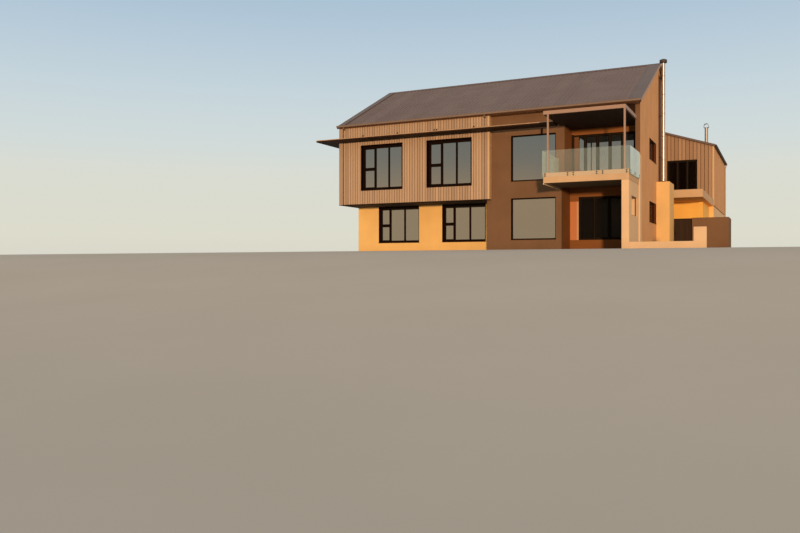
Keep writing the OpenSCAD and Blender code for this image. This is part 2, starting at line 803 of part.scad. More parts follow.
module at_picture_window(sill)
    translate([-picture_centre - picture_w / 2, reveal, sill]) children();

module at_side_windows() {
    for (z = [side_win_head, upper_side_head]) {
        translate([-reveal, side_win_y, z - side_win_h]) facing("right") children();
        translate([-house_len + reveal, side_win_y + side_win_w, z - side_win_h]) facing("left") children();
        translate([wing_ridge_x + side_win_w / 2, wing_end - reveal, z - side_win_h])
            facing("rear") children();
    }
}

module at_rear_windows(sill)
    for (x = window_centres)
        translate([x + upper_win_w / 2, house_depth - reveal, sill]) facing("rear") children();

module front_windows() color(dark_frame) place() {
    at_upper_windows()
        framed([upper_win_w, upper_win_h], three_lights(upper_win_w, upper_win_h, upper_narrow));
    at_lower_windows() framed([lower_win_w, head_h], three_lights(lower_win_w, head_h, lower_narrow));
}

module picture_windows() color(dark_frame) place() {
    at_picture_window(0) framed([picture_w, head_h], one_light(head_h));
    at_picture_window(picture_sill) framed([picture_w, picture_h], one_light(picture_h));
}

module side_windows() color(dark_frame) place()
    at_side_windows() framed([side_win_w, side_win_h], equal_lights(side_win_w, side_win_h, 2));

module rear_windows() color(dark_frame) place() {
    at_rear_windows(0) framed([upper_win_w, head_h], equal_lights(upper_win_w, head_h, 3));
    at_rear_windows(upper_sill)
        framed([upper_win_w, upper_win_h], equal_lights(upper_win_w, upper_win_h, 3));
}

module at_balcony_door()
    translate([door_left, recess_d + reveal, storey_h]) children();

module at_porch_door()
    translate([porch_door_left, porch_d + reveal, 0]) children();

module recess_doors() color(dark_frame) place() {
    at_balcony_door() framed([door_w, door_h], equal_lights(door_w, door_h, door_leaves));
    at_porch_door()
        framed([porch_door_w, porch_door_h], equal_lights(porch_door_w, porch_door_h, porch_leaves));
}

module at_terrace_door()
    translate([door_right - terrace_door_w, wing_y + reveal, storey_h]) children();

module terrace_door() color(dark_frame) place()
    at_terrace_door()
        framed([terrace_door_w, terrace_door_h],
            equal_lights(terrace_door_w, terrace_door_h, terrace_leaves));

module window_glass() color(pane) place() {
    at_upper_windows() glazed(three_lights(upper_win_w, upper_win_h, upper_narrow));
    at_lower_windows() glazed(three_lights(lower_win_w, head_h, lower_narrow));
    at_picture_window(0) glazed(one_light(head_h));
    at_picture_window(picture_sill) glazed(one_light(picture_h));
    at_side_windows() glazed(equal_lights(side_win_w, side_win_h, 2));
    at_rear_windows(0) glazed(equal_lights(upper_win_w, head_h, 3));
    at_rear_windows(upper_sill) glazed(equal_lights(upper_win_w, upper_win_h, 3));
}

module door_glass() color(pane) place() {
    at_balcony_door() glazed(equal_lights(door_w, door_h, door_leaves));
    at_porch_door() glazed(equal_lights(porch_door_w, porch_door_h, porch_leaves));
    at_terrace_door() glazed(equal_lights(terrace_door_w, terrace_door_h, terrace_leaves));
}

module yard_wall() color(plaster) place() {
    block([gate_x, gate_x + gate_w], [yard_y, yard_y + yard_t], [-plinth_h, -plinth_h + threshold_h]);
    block([gate_x + gate_w, yard_reach], [yard_y, yard_y + yard_t], [-plinth_h, yard_h]);
    block([yard_reach - yard_t, yard_reach], [yard_y + yard_t, yard_y + yard_return], [-plinth_h, yard_h]);
    for (z = hinge_levels)
        translate([hinge_x, hinge_y, z]) {
            cylinder(h = hinge_h, r = pin_r, $fn = 32);
            translate([0, -pin_r, -hinge_t]) cube([hinge_plate, 2 * pin_r, hinge_t]);
            translate([pin_out, -pin_out, -hinge_t])
                cube([hinge_plate - pin_out, pin_out, hinge_h + hinge_t]);
        }
}

module yard_gate() color(dark_frame) place() {
    block([gate_x + gate_gap, gate_x + gate_w - gate_gap], [yard_y + yard_t - gate_t, yard_y + yard_t],
        [-plinth_h + threshold_h + 2 * gate_gap, yard_h - 2 * gate_gap]);
    for (z = hinge_levels)
        translate([hinge_x, hinge_y, z + hinge_play])
            difference() {
                union() {
                    cylinder(h = hinge_h - 2 * hinge_play, r = pin_r + hinge_t, $fn = 32);
                    translate([-strap_l, -pin_out, 0])
                        cube([strap_l, 2 * hinge_t, hinge_h - 2 * hinge_play]);
                }
                translate([0, 0, -through])
                    cylinder(h = hinge_h + 2 * through, r = pin_r + hinge_bore_gap, $fn = 32);
            }
}

module low_wall() color(cream) place() {
    block([0, low_wall_len], [-balcony_out, -balcony_out + yard_t], [-plinth_h, -low_wall_drop]);
    block([low_wall_len, low_wall_len + pier_w], [-balcony_out, -balcony_out + yard_t],
        [-plinth_h, pier_h]);
}

ground_floor();
upper_floor();
wing_floors();
lower_front_wall();
clad_box();
box_soffit();
plastered_front();
recess_walls();
right_gable();
left_gable();
left_lower_wall();
rear_wall();
rear_step_walls();
balcony_slab();
balcony_wall();
balcony_ceiling();
portal_frame();
balustrade_glass();
glass_clamps();
canopy();
front_roof();
rear_roof();
roof_flashings();
gutters();
chimney_block();
flue();
flue_cap();
wing_front_wall();
wing_side_walls();
wing_rear_wall();
wing_roof();
terrace_slab();
terrace_room();
wing_flue();
front_windows();
picture_windows();
side_windows();
rear_windows();
recess_doors();
terrace_door();
window_glass();
door_glass();
yard_wall();
yard_gate();
low_wall();
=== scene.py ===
"""Beach house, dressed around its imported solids: boards, sheets, windows, balcony, flues, gate and stage."""

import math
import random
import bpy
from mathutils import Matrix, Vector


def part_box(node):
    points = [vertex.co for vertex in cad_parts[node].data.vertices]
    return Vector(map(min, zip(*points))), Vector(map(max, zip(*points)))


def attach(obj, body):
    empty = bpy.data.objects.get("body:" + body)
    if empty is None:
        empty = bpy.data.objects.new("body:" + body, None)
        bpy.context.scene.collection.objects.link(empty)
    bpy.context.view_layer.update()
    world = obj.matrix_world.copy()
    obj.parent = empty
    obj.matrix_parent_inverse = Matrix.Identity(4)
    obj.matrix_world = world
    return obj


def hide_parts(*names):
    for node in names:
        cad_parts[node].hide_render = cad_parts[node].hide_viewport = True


bl_info = {
    "name": "Beach house",
    "version": (1, 0, 0),
    "blender": (4, 5, 0),
    "location": "3D View > Sidebar > Beach house",
    "description": "Dresses the solids of the beach house with its boards, sheets, frames and finishes",
    "category": "Object",
}

import bmesh
import bpy
from mathutils import Vector

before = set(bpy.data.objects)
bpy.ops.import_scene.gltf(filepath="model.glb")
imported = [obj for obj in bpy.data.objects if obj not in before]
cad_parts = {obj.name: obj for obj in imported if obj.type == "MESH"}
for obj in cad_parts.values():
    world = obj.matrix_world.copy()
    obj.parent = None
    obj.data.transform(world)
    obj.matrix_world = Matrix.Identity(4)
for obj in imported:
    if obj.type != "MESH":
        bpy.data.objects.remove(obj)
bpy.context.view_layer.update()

# House coordinates: X from the right gable's outer face, Y from the plastered front, Z from the ground floor
CORNER = Vector((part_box("right_gable")[1].x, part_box("plastered_front")[0].y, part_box("ground_floor")[1].z))


def span(node, axis):
    """Lowest and highest place of a solid along an axis, in house coordinates."""
    low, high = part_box(node)
    return low[axis] - CORNER[axis], high[axis] - CORNER[axis]


HOUSE_LEFT = span("left_gable", 0)[0]
HOUSE_REAR = span("rear_wall", 1)[1]
GROUND = -CORNER.z
BOX_FRONT, BOX_BOTTOM = span("clad_box", 1)[0], span("clad_box", 2)[0]
BOX_LEFT, BOX_RIGHT = span("clad_box", 0)
FIN_FRONT = span("left_gable", 1)[0]
STOREY = span("upper_floor", 2)[1]
SLAB_BOTTOM = span("balcony_slab", 2)[0]
BALCONY_LEFT, BALCONY_FRONT = span("balcony_slab", 0)[0], span("balcony_slab", 1)[0]
CEILING = span("balcony_ceiling", 2)[0]
EAVE_Y, RIDGE_Y = span("front_roof", 1)
RIDGE_Z = span("front_roof", 2)[1]
ROOF_LEFT, ROOF_RIGHT = span("front_roof", 0)
EAVE_Z = span("gutters", 2)[1] + 0.02
ROOF_PITCH = math.atan2(RIDGE_Z - EAVE_Z, RIDGE_Y - EAVE_Y)
ROOF_THICK = EAVE_Z - span("front_roof", 2)[0]
EAVE_OUT = -EAVE_Y
STEP_X, STEP_Y = span("rear_step_walls", 0)[0] + 0.22, span("right_gable", 1)[1]
WING_LEFT, WING_RIGHT = span("wing_side_walls", 0)
WING_FRONT, WING_REAR = span("wing_front_wall", 1)[0], span("wing_rear_wall", 1)[1]
WING_RIDGE_X = (WING_LEFT + WING_RIGHT) / 2
WING_PITCH = math.radians(18)
WING_ROOF_LEFT, WING_ROOF_RIGHT = span("wing_roof", 0)
WING_EAVE_Z, WING_RIDGE_Z = span("wing_roof", 2)
WING_THICK = WING_RIDGE_Z - (WING_RIDGE_X - WING_ROOF_LEFT) * math.tan(WING_PITCH) - WING_EAVE_Z
WING_OVERHANG = WING_FRONT - 0.15
CANOPY_Z = span("canopy", 2)
CANOPY_FRONT, CANOPY_BACK = span("canopy", 1)
CANOPY_LEFT, CANOPY_RIGHT = span("canopy", 0)
TERRACE_FRONT = span("terrace_slab", 1)[0]
TERRACE_BOTTOM = span("terrace_slab", 2)[0]
TERRACE_ROOM_RIGHT, TERRACE_ROOM_FRONT = span("terrace_room", 0)[1], span("terrace_room", 1)[0]
CHIMNEY_TOP = span("chimney_block", 2)[1]
UNDERCUT = span("lower_front_wall", 1)[0]

# Windows: places along their walls, (width, height) and sills
REVEAL, FRAME_DEPTH, GLASS_HALF = 0.12, 0.07, 0.012
WINDOW_CENTRES = (-9.62, -13.58)
BOX_WINDOW, BOX_SILL = (2.49, 2.44), 2.85
LOWER_WINDOW = (2.55, 2.1)
PICTURE_CENTRE, PICTURE_SIZES = -5.19, ((2.3, 2.1, 0.0), (2.3, 2.31, 2.96))
SIDE_WINDOW, SIDE_NEAR, SIDE_SILLS = (2.3, 1.06), 2.83, (0.9, 4.09)
# Doors: left edge, width, height and number of leaves; then left edge, right edge, sill and head
BALCONY_DOOR, PORCH_DOOR = (-3.58, 3.135, 2.37, 5), (-3.3, 3.02, 2.19, 4)
TERRACE_DOOR = (-0.74, 1.10, STOREY, STOREY + 2.62)
# The recess behind the balcony: its depths on the two floors and the inner faces of its side walls
RECESS_DEPTH, PORCH_DEPTH = 1.45, 1.7
RECESS_LEFT, RECESS_RIGHT = -3.595, -0.222

# Roof trims: how far they stand off a slope, their sheet's thickness, the length of one piece and an overlap
TRIM_LIFT, TRIM_THICK, TRIM_LENGTH, TRIM_LAP = 0.03, 0.004, 2.4, 0.02
# Roof sheets: the width that each covers, their distance off the roof and their thickness
SHEET_COVER, SHEET_LIFT, SHEET_THICK = 0.71, 0.003, 0.0012
# Main rear eave, right end of the roof slope beside the step, and the left end of the rear eave boards
REAR_EAVE, STEP_EAVE, REAR_EAVE_LEFT = HOUSE_REAR + EAVE_OUT, STEP_X + 0.1, WING_LEFT - 0.2
# Foot of the wing's upper render and boards, heights of the downpipes' clips, and places of the front outlets
WING_LOW, CLIP_HEIGHTS, OUTLETS = 2.55, (0.4, 2.4, 4.6), (-15.86, -7.6)
# Canopy: joints of its capping, places of its brackets with the wall behind each, and its stay
CANOPY_JOINTS = (CANOPY_LEFT, -14.3, -11.4, -8.5, -5.6, CANOPY_RIGHT)
CANOPY_BRACKETS = [(x, BOX_FRONT - 0.02) for x in (-14.72, -12.62, -10.45, -10.3, -8.23)] + [(-6.3, 0.0)]
STAY_X = -4.73
# Main flue: heights of its joints and wall bands, and the edges of the dark strip behind it, a painted shadow
# of the flue on the gable
FLUE_JOINTS, FLUE_BANDS = (4.42, 5.68, 6.93, 7.95, 8.97), (4.55, 6.8, 8.84)
FLUE_SHADOW_FRONT, FLUE_SHADOW_REAR = 6.04, 6.88
# Yard gate: outer and inner faces and width; then the balustrade's distance off the slab and its glass
GATE_FACE, GATE_BACK, GATE_WIDTH = 7.015, 7.06, 0.94
BALUSTRADE_OFF, BALUSTRADE_THICK = 0.04, 0.018

# The photograph's view, the low sun, and the sky's colours from below the horizon up to the zenith
CAMERA, CAMERA_TURN, LENS, FILM = (6.0, -37.9, -1.35), 26.16, 35.0, 36.0
SUN_WAY, SUN_SOFTNESS, SUN_COLOUR = (-0.385, 1.0, -0.03), 2.5, (1.0, 0.62, 0.33)
SKY_BEHIND = (
    (0.0, (0.75, 0.7, 0.65)), (0.2, (1.16, 1.15, 0.98)), (0.264, (1.12, 1.15, 1.04)),
    (0.291, (1.04, 1.14, 1.12)), (0.346, (0.91, 1.07, 1.15)), (0.404, (0.745, 0.94, 1.11)),
    (0.45, (0.62, 0.85, 1.05)), (0.6, (0.85, 0.85, 0.8)), (1.0, (0.95, 0.88, 0.78)))
SKY_BEFORE = (
    (0.0, (0.7, 0.6, 0.5)), (0.167, (1.45, 1.12, 0.68)), (0.242, (1.5, 1.1, 0.68)),
    (0.279, (0.9, 0.86, 0.72)), (0.308, (0.74, 0.8, 0.74)), (0.458, (1.0, 0.9, 0.76)),
    (1.0, (0.95, 0.88, 0.78)))


def roof_z(y):
    """Top of the main roof's solids at a depth."""
    return RIDGE_Z - abs(y - RIDGE_Y) * math.tan(ROOF_PITCH)


def wing_z(x):
    """Top of the wing's roof solid at a distance from the right gable."""
    return WING_RIDGE_Z - abs(x - WING_RIDGE_X) * math.tan(WING_PITCH)


# Solids


def tube_faces(first, second, steps):
    """Faces between two rings of points, given where each starts."""
    return [(first + k, first + (k + 1) % steps, second + (k + 1) % steps, second + k) for k in range(steps)]


def soften(piece, width, segments):
    """Takes the hardness off a piece's edges."""
    soft = piece.modifiers.new("edge", "BEVEL")
    soft.width, soft.segments = width, segments
    soft.limit_method, soft.angle_limit = "ANGLE", math.radians(40)


class Solids:
    """Gathers the solids of one piece, in house coordinates, each with its own tone."""

    def __init__(self):
        self.points, self.faces, self.tones = [], [], []

    def add(self, points, faces, tone=0.5):
        """Points and faces of one solid, with its tone."""
        start = len(self.points)
        self.points += [tuple(p) for p in points]
        self.faces += [[start + i for i in face] for face in faces]
        self.tones += [tone] * len(faces)

    def bar(self, x, y, z, tone=0.5):
        """Square-edged bar between pairs of coordinates."""
        points = [(a, b, c) for a in sorted(x) for b in sorted(y) for c in sorted(z)]
        faces = [(0, 1, 3, 2), (4, 6, 7, 5), (0, 4, 5, 1), (2, 3, 7, 6), (0, 2, 6, 4), (1, 5, 7, 3)]
        self.add(points, faces, tone)

    def sweep(self, outline, ends, place, tone=0.5):
        """Outline of pairs, carried from one end to the other; place turns (a, b, end) to a point."""
        n = len(outline)
        points = [place(a, b, e) for e in ends for a, b in outline]
        faces = [tuple(range(n))[::-1], tuple(range(n, 2 * n))]
        faces += [(i, (i + 1) % n, n + (i + 1) % n, n + i) for i in range(n)]
        self.add(points, faces, tone)

    def turned(self, profile, foot, steps=32, axis="z", closed=False):
        """Profile of (radius, height) turned round an axis through foot. A closed profile makes a ring."""
        points, faces = [], []
        for radius, height in profile:
            for k in range(steps):
                a = 2 * math.pi * k / steps
                u, v = radius * math.cos(a), radius * math.sin(a)
                offset = {"z": (u, v, height), "y": (u, height, v), "x": (height, u, v)}[axis]
                points.append(tuple(f + o for f, o in zip(foot, offset)))
        count = len(profile)
        for i in range(count if closed else count - 1):
            faces += tube_faces(i * steps, ((i + 1) % count) * steps, steps)
        if not closed:
            faces += [tuple(range(steps))[::-1], tuple((count - 1) * steps + k for k in range(steps))]
        self.add(points, faces)

    def pipe(self, path, radius, steps=12):
        """Round bar of one radius along a path of points."""
        path = [Vector(p) for p in path]
        points = []
        side = None
        for i, p in enumerate(path):
            ahead = path[min(i + 1, len(path) - 1)] - path[max(i - 1, 0)]
            ahead.normalize()
            if side is None:
                side = ahead.cross(Vector((0, 0, 1)) if abs(ahead.z) < 0.9 else Vector((1, 0, 0)))
            side = (side - ahead * side.dot(ahead)).normalized()
            up = ahead.cross(side)
            angles = [2 * math.pi * k / steps for k in range(steps)]
            points += [p + radius * (side * math.cos(a) + up * math.sin(a)) for a in angles]
        faces = [tuple(range(steps))[::-1], tuple((len(path) - 1) * steps + k for k in range(steps))]
        for i in range(len(path) - 1):
            faces += tube_faces(i * steps, (i + 1) * steps, steps)
        self.add(points, faces)

    def make(self, name, finish, slot, body="house", edge=0.0, smooth=False, replaces=()):
        """The piece itself: a mesh with clean normals, softened edges and a finish, which rides on a body."""
        mesh = bpy.data.meshes.new(name)
        mesh.from_pydata([tuple(CORNER + Vector(p)) for p in self.points], [], self.faces)
        mesh.attributes.new("tone", "FLOAT", "FACE").data.foreach_set("value", self.tones)
        form = bmesh.new()
        form.from_mesh(mesh)
        bmesh.ops.dissolve_limit(form, angle_limit=0.0005, verts=form.verts, edges=form.edges)
        bmesh.ops.recalc_face_normals(form, faces=form.faces)
        if smooth:
            for face in form.faces:
                face.smooth = True
            for joint in form.edges:
                if len(joint.link_faces) == 2 and joint.calc_face_angle() > 0.6:
                    joint.smooth = False
        form.to_mesh(mesh)
        form.free()
        piece = bpy.data.objects.new(name, mesh)
        bpy.context.scene.collection.objects.link(piece)
        mesh.materials.append(finish_of(finish))
        if edge:
            soften(piece, edge, 1)
        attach(piece, body)
        if replaces:
            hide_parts(*replaces)
        return piece


def on_wall(side, face):
    """Turns (along, out, up) on a wall's outer face to house coordinates."""
    return {
        "front": lambda u, n, w: (u, face - n, w),
        "rear": lambda u, n, w: (u, face + n, w),
        "right": lambda u, n, w: (face + n, u, w),
        "left": lambda u, n, w: (face - n, u, w),
    }[side]


def wall_bar(solids, place, u, n, w, tone=0.5):
    """Square-edged bar on a wall, between pairs of distances along it, out of it and up it."""
    a, b = place(u[0], n[0], w[0]), place(u[1], n[1], w[1])
    solids.bar((a[0], b[0]), (a[1], b[1]), (a[2], b[2]), tone)


def single(name, finish, slot, x, y, z, edge=0.002, tone=0.5):
    """A piece that is one square-edged bar."""
    work = Solids()
    work.bar(x, y, z, tone)
    work.make(name, finish, slot, edge=edge)


def boards(solids, place, run, pitch, gap, thick, bottom, top, holes, seed, breaks=()):
    """Vertical boards over a wall, notched round its holes and cut to the roof above."""
    rng = random.Random(seed)
    count = max(1, round((run[1] - run[0]) / pitch))
    width = (run[1] - run[0]) / count
    group = rng.random()
    for i in range(count):
        if rng.random() < 0.4:
            group = rng.random()
        tone = 0.55 * group + 0.45 * rng.random()
        left, right = run[0] + i * width + gap / 2, run[0] + (i + 1) * width - gap / 2
        cuts = {left, right}
        levels = {bottom}
        for u0, u1, w0, w1 in holes:
            if u0 < right and u1 > left:
                cuts |= {c for c in (u0, u1) if left < c < right}
                levels |= {w for w in (w0, w1) if w > bottom}
        cuts |= {c for c in breaks if left < c < right}
        cuts, levels = sorted(cuts), sorted(levels)
        index, points, front = {}, [], []

        def corner(a, b):
            """Number of the point where a cut and a level meet."""
            if (a, b) not in index:
                index[a, b] = len(points)
                points.append((cuts[a], top(cuts[a]) if b == len(levels) else levels[b]))
            return index[a, b]

        for a in range(len(cuts) - 1):
            middle = (cuts[a] + cuts[a + 1]) / 2
            for b in range(len(levels)):
                high = levels[b + 1] if b + 1 < len(levels) else top(middle)
                level = (levels[b] + high) / 2
                cut = any(h[0] < middle < h[1] and h[2] < level < h[3] for h in holes)
                if not cut and high - levels[b] >= 0.001:
                    front.append((corner(a, b), corner(a + 1, b), corner(a + 1, b + 1), corner(a, b + 1)))
        edges = {}
        for face in front:
            for k in range(4):
                edges[face[k], face[(k + 1) % 4]] = True
        rim = [e for e in edges if (e[1], e[0]) not in edges]
        n = len(points)
        solid = [place(u, thick, w) for u, w in points] + [place(u, 0, w) for u, w in points]
        faces = front + [tuple(n + k for k in face[::-1]) for face in front]
        faces += [(b, a, n + a, n + b) for a, b in rim]
        if front:
            solids.add(solid, faces, tone)


# Finishes


def new_finish(name):
    """A finish with its shader and the place of each point in metres."""
    finish = bpy.data.materials.new(name)
    finish.use_nodes = True
    tree = finish.node_tree
    shader = tree.nodes["Principled BSDF"]
    place = tree.nodes.new("ShaderNodeTexCoord").outputs["Object"]
    return finish, tree, shader, place


def link(tree, a, b):
    """Joins one socket to another."""
    tree.links.new(a, b)


def grain(tree, place, scale, stretch=(1, 1, 1), detail=4.0, rough=0.55):
    """Soft uneven pattern of a number of spots a metre, stretched along the axes."""
    mapping = tree.nodes.new("ShaderNodeMapping")
    mapping.inputs["Scale"].default_value = stretch
    link(tree, place, mapping.inputs["Vector"])
    noise = tree.nodes.new("ShaderNodeTexNoise")
    noise.inputs["Scale"].default_value = scale
    noise.inputs["Detail"].default_value = detail
    noise.inputs["Roughness"].default_value = rough
    link(tree, mapping.outputs["Vector"], noise.inputs["Vector"])
    return noise.outputs["Fac"]


def ramp(tree, value, low, high, start=0.0, end=1.0):
    """A value spread from low to high as its source goes from start to end."""
    spread = tree.nodes.new("ShaderNodeMapRange")
    spread.inputs["From Min"].default_value, spread.inputs["From Max"].default_value = start, end
    spread.inputs["To Min"].default_value, spread.inputs["To Max"].default_value = low, high
    link(tree, value, spread.inputs["Value"])
    return spread.outputs["Result"]


def blend(tree, share, first, second):
    """Two colours mixed by a share; each is a colour or a socket."""
    mix = tree.nodes.new("ShaderNodeMix")
    mix.data_type = "RGBA"
    for socket, value in ((mix.inputs[0], share), (mix.inputs[6], first), (mix.inputs[7], second)):
        if isinstance(value, bpy.types.NodeSocket):
            link(tree, value, socket)
        elif isinstance(value, (int, float)):
            socket.default_value = value
        else:
            socket.default_value = (*value[:3], 1)
    return mix.outputs[2]


def shade(colour, factor):
    """A colour made lighter or darker."""
    return tuple(min(1.0, c * factor) for c in colour[:3])


def bump(tree, shader, height, distance, strength=0.5):
    """Raises the surface by a height pattern, up to a distance in metres."""
    node = tree.nodes.new("ShaderNodeBump")
    node.inputs["Distance"].default_value, node.inputs["Strength"].default_value = distance, strength
    link(tree, height, node.inputs["Height"])
    link(tree, node.outputs["Normal"], shader.inputs["Normal"])


def render_finish(name, colour, mottle=0.1, streak=0.08):
    """Matt painted render with a fine sandy grain, faint patches and rain streaks, and dust low down."""
    finish, tree, shader, place = new_finish(name)
    patches = grain(tree, place, 0.9, detail=5)
    streaks = grain(tree, place, 2.2, stretch=(1, 1, 0.08), detail=3)
    dark, light = shade(colour, 1 - mottle), shade(colour, 1 + mottle)
    tint = blend(tree, ramp(tree, patches, 0, 1, 0.3, 0.7), dark, light)
    tint = blend(tree, ramp(tree, streaks, 0, streak * 2, 0.45, 0.8), tint, shade(colour, 0.72))
    axes = tree.nodes.new("ShaderNodeSeparateXYZ")
    link(tree, place, axes.inputs[0])
    dust = ramp(tree, axes.outputs["Z"], 0.28, 0.0, 0.0, 0.55)
    tint = blend(tree, dust, tint, shade(colour, 0.6))
    link(tree, tint, shader.inputs["Base Color"])
    link(tree, ramp(tree, grain(tree, place, 14), 0.78, 0.95), shader.inputs["Roughness"])
    shader.inputs["Specular IOR Level"].default_value = 0.25
    sand = grain(tree, place, 160, detail=6, rough=0.7)
    bump(tree, shader, sand, 0.0025, 0.55)
    return finish


def slab_finish(name, colour, under):
    """Painted concrete edge; faces that look down take the under colour instead."""
    finish, tree, shader, place = new_finish(name)
    patches = grain(tree, place, 1.4, detail=5)
    tint = blend(tree, ramp(tree, patches, 0, 1, 0.3, 0.7), shade(colour, 0.93), shade(colour, 1.05))
    geometry = tree.nodes.new("ShaderNodeNewGeometry")
    axes = tree.nodes.new("ShaderNodeSeparateXYZ")
    link(tree, geometry.outputs["Normal"], axes.inputs[0])
    down = ramp(tree, axes.outputs["Z"], 1.0, 0.0, -0.9, -0.6)
    tint = blend(tree, down, tint, under)
    link(tree, tint, shader.inputs["Base Color"])
    shader.inputs["Roughness"].default_value = 0.85
    shader.inputs["Specular IOR Level"].default_value = 0.25
    bump(tree, shader, grain(tree, place, 130, detail=6, rough=0.7), 0.002, 0.5)
    return finish


def board_finish(name, colour, warm, spread=0.22, stretch=(1, 1, 0.05), rough=0.68):
    """Boards of varied tone, each with a fine grain along it."""
    finish, tree, shader, place = new_finish(name)
    tone = tree.nodes.new("ShaderNodeAttribute")
    tone.attribute_name = "tone"
    tones = tone.outputs["Fac"]
    tint = blend(tree, tones, shade(colour, 1 - spread), shade(warm, 1 + spread))
    cloud = grain(tree, place, 1.3, stretch=stretch, detail=3)
    tint = blend(tree, ramp(tree, cloud, 0, 0.4, 0.4, 0.75), tint, shade(warm, 1.12))
    fibre = grain(tree, place, 42, stretch=stretch, detail=7, rough=0.65)
    tint = blend(tree, ramp(tree, fibre, 0, 0.35, 0.45, 0.8), tint, shade(colour, 0.62))
    link(tree, tint, shader.inputs["Base Color"])
    link(tree, ramp(tree, fibre, rough - 0.1, rough + 0.12), shader.inputs["Roughness"])
    shader.inputs["Specular IOR Level"].default_value = 0.18
    bump(tree, shader, fibre, 0.0022, 0.5)
    return finish


def sheet_finish(name, colour, rough=0.5):
    """Weathered painted metal sheet, a little different in each length."""
    finish, tree, shader, place = new_finish(name)
    tone = tree.nodes.new("ShaderNodeAttribute")
    tone.attribute_name = "tone"
    cloud = grain(tree, place, 0.8, detail=6, rough=0.6)
    tint = blend(tree, tone.outputs["Fac"], shade(colour, 0.92), shade(colour, 1.08))
    tint = blend(tree, ramp(tree, cloud, 0, 0.5, 0.4, 0.75), tint, shade(colour, 0.8))
    speck = grain(tree, place, 70, detail=3)
    tint = blend(tree, ramp(tree, speck, 0, 0.35, 0.62, 0.8), tint, shade(colour, 1.4))
    link(tree, tint, shader.inputs["Base Color"])
    link(tree, ramp(tree, cloud, rough - 0.08, rough + 0.12), shader.inputs["Roughness"])
    shader.inputs["Metallic"].default_value = 0.15
    bump(tree, shader, grain(tree, place, 35, detail=3), 0.0008, 0.3)
    return finish


def paint_finish(name, colour, rough=0.42, wear=0.12, shine=0.3):
    """Satin powder coat on metal, with slight dust and wear."""
    finish, tree, shader, place = new_finish(name)
    cloud = grain(tree, place, 3.0, detail=6)
    tint = blend(tree, ramp(tree, cloud, 0, wear * 4, 0.5, 0.85), colour, shade(colour, 1.9))
    link(tree, tint, shader.inputs["Base Color"])
    link(tree, ramp(tree, grain(tree, place, 24), rough - 0.07, rough + 0.12), shader.inputs["Roughness"])
    shader.inputs["Specular IOR Level"].default_value = shine
    bump(tree, shader, grain(tree, place, 420, detail=2), 0.0003, 0.25)
    return finish


def steel_finish(name, colour, rough=0.3):
    """Bright drawn stainless tube with faint stains and a fine brushed grain round it."""
    finish, tree, shader, place = new_finish(name)
    rings = grain(tree, place, 60, stretch=(0.02, 0.02, 6), detail=4)
    cloud = grain(tree, place, 0.7, detail=3)
    tint = blend(tree, ramp(tree, cloud, 0, 0.25, 0.4, 0.8), colour, shade(colour, 0.88))
    link(tree, tint, shader.inputs["Base Color"])
    shader.inputs["Metallic"].default_value = 1.0
    link(tree, ramp(tree, rings, rough, rough + 0.06), shader.inputs["Roughness"])
    bump(tree, shader, rings, 0.0001, 0.2)
    return finish


def window_finish(name, colour):
    """Sealed glazing that mirrors the sky over a dim room."""
    finish, tree, shader, place = new_finish(name)
    film = grain(tree, place, 1.1, detail=3)
    link(tree, blend(tree, ramp(tree, film, 0, 0.5), colour, shade(colour, 0.7)), shader.inputs["Base Color"])
    shader.inputs["Transmission Weight"].default_value = 0.3
    shader.inputs["IOR"].default_value = 3.2
    link(tree, ramp(tree, film, 0.0, 0.02), shader.inputs["Roughness"])
    bump(tree, shader, grain(tree, place, 0.9, detail=1), 0.004, 0.12)
    return finish


def shaded_finish(name, colour, cover):
    """Glazing with hardly a reflection, nearly opaque and dark: painted shade for glass that stands in shade
    before a dark room.
    """
    finish, tree, shader, place = new_finish(name)
    film = grain(tree, place, 1.1, detail=3)
    link(tree, blend(tree, ramp(tree, film, 0, 0.6), colour, shade(colour, 0.7)), shader.inputs["Base Color"])
    link(tree, ramp(tree, film, cover - 0.04, cover + 0.04), shader.inputs["Alpha"])
    link(tree, ramp(tree, film, 0.1, 0.2), shader.inputs["Roughness"])
    shader.inputs["Specular IOR Level"].default_value = 0.1
    return finish


def balustrade_finish(name, colour):
    """Toughened glass, clear, with a pale tint in soft patches that is a painted sheen of the bright sky; panes
    that face sideways are more opaque, a painted reflection.
    """
    finish, tree, shader, place = new_finish(name)
    sheen_patches = grain(tree, place, 2.4, detail=5)
    tint = blend(tree, ramp(tree, sheen_patches, 0, 1, 0.3, 0.7), colour, shade(colour, 0.85))
    link(tree, tint, shader.inputs["Base Color"])
    geometry = tree.nodes.new("ShaderNodeNewGeometry")
    axes = tree.nodes.new("ShaderNodeSeparateXYZ")
    link(tree, geometry.outputs["Normal"], axes.inputs[0])
    # Panes that face sideways are made more opaque: a painted reflection of the bright sky
    side_pane_sheen = tree.nodes.new("ShaderNodeMath")
    side_pane_sheen.operation = "ABSOLUTE"
    link(tree, axes.outputs["X"], side_pane_sheen.inputs[0])
    cover = tree.nodes.new("ShaderNodeMath")
    cover.operation = "ADD"
    link(tree, ramp(tree, sheen_patches, 0.05, 0.11), cover.inputs[0])
    link(tree, ramp(tree, side_pane_sheen.outputs[0], 0.0, 0.5, 0.5, 0.9), cover.inputs[1])
    link(tree, cover.outputs[0], shader.inputs["Alpha"])
    link(tree, ramp(tree, sheen_patches, 0.02, 0.08), shader.inputs["Roughness"])
    shader.inputs["IOR"].default_value = 1.9
    return finish


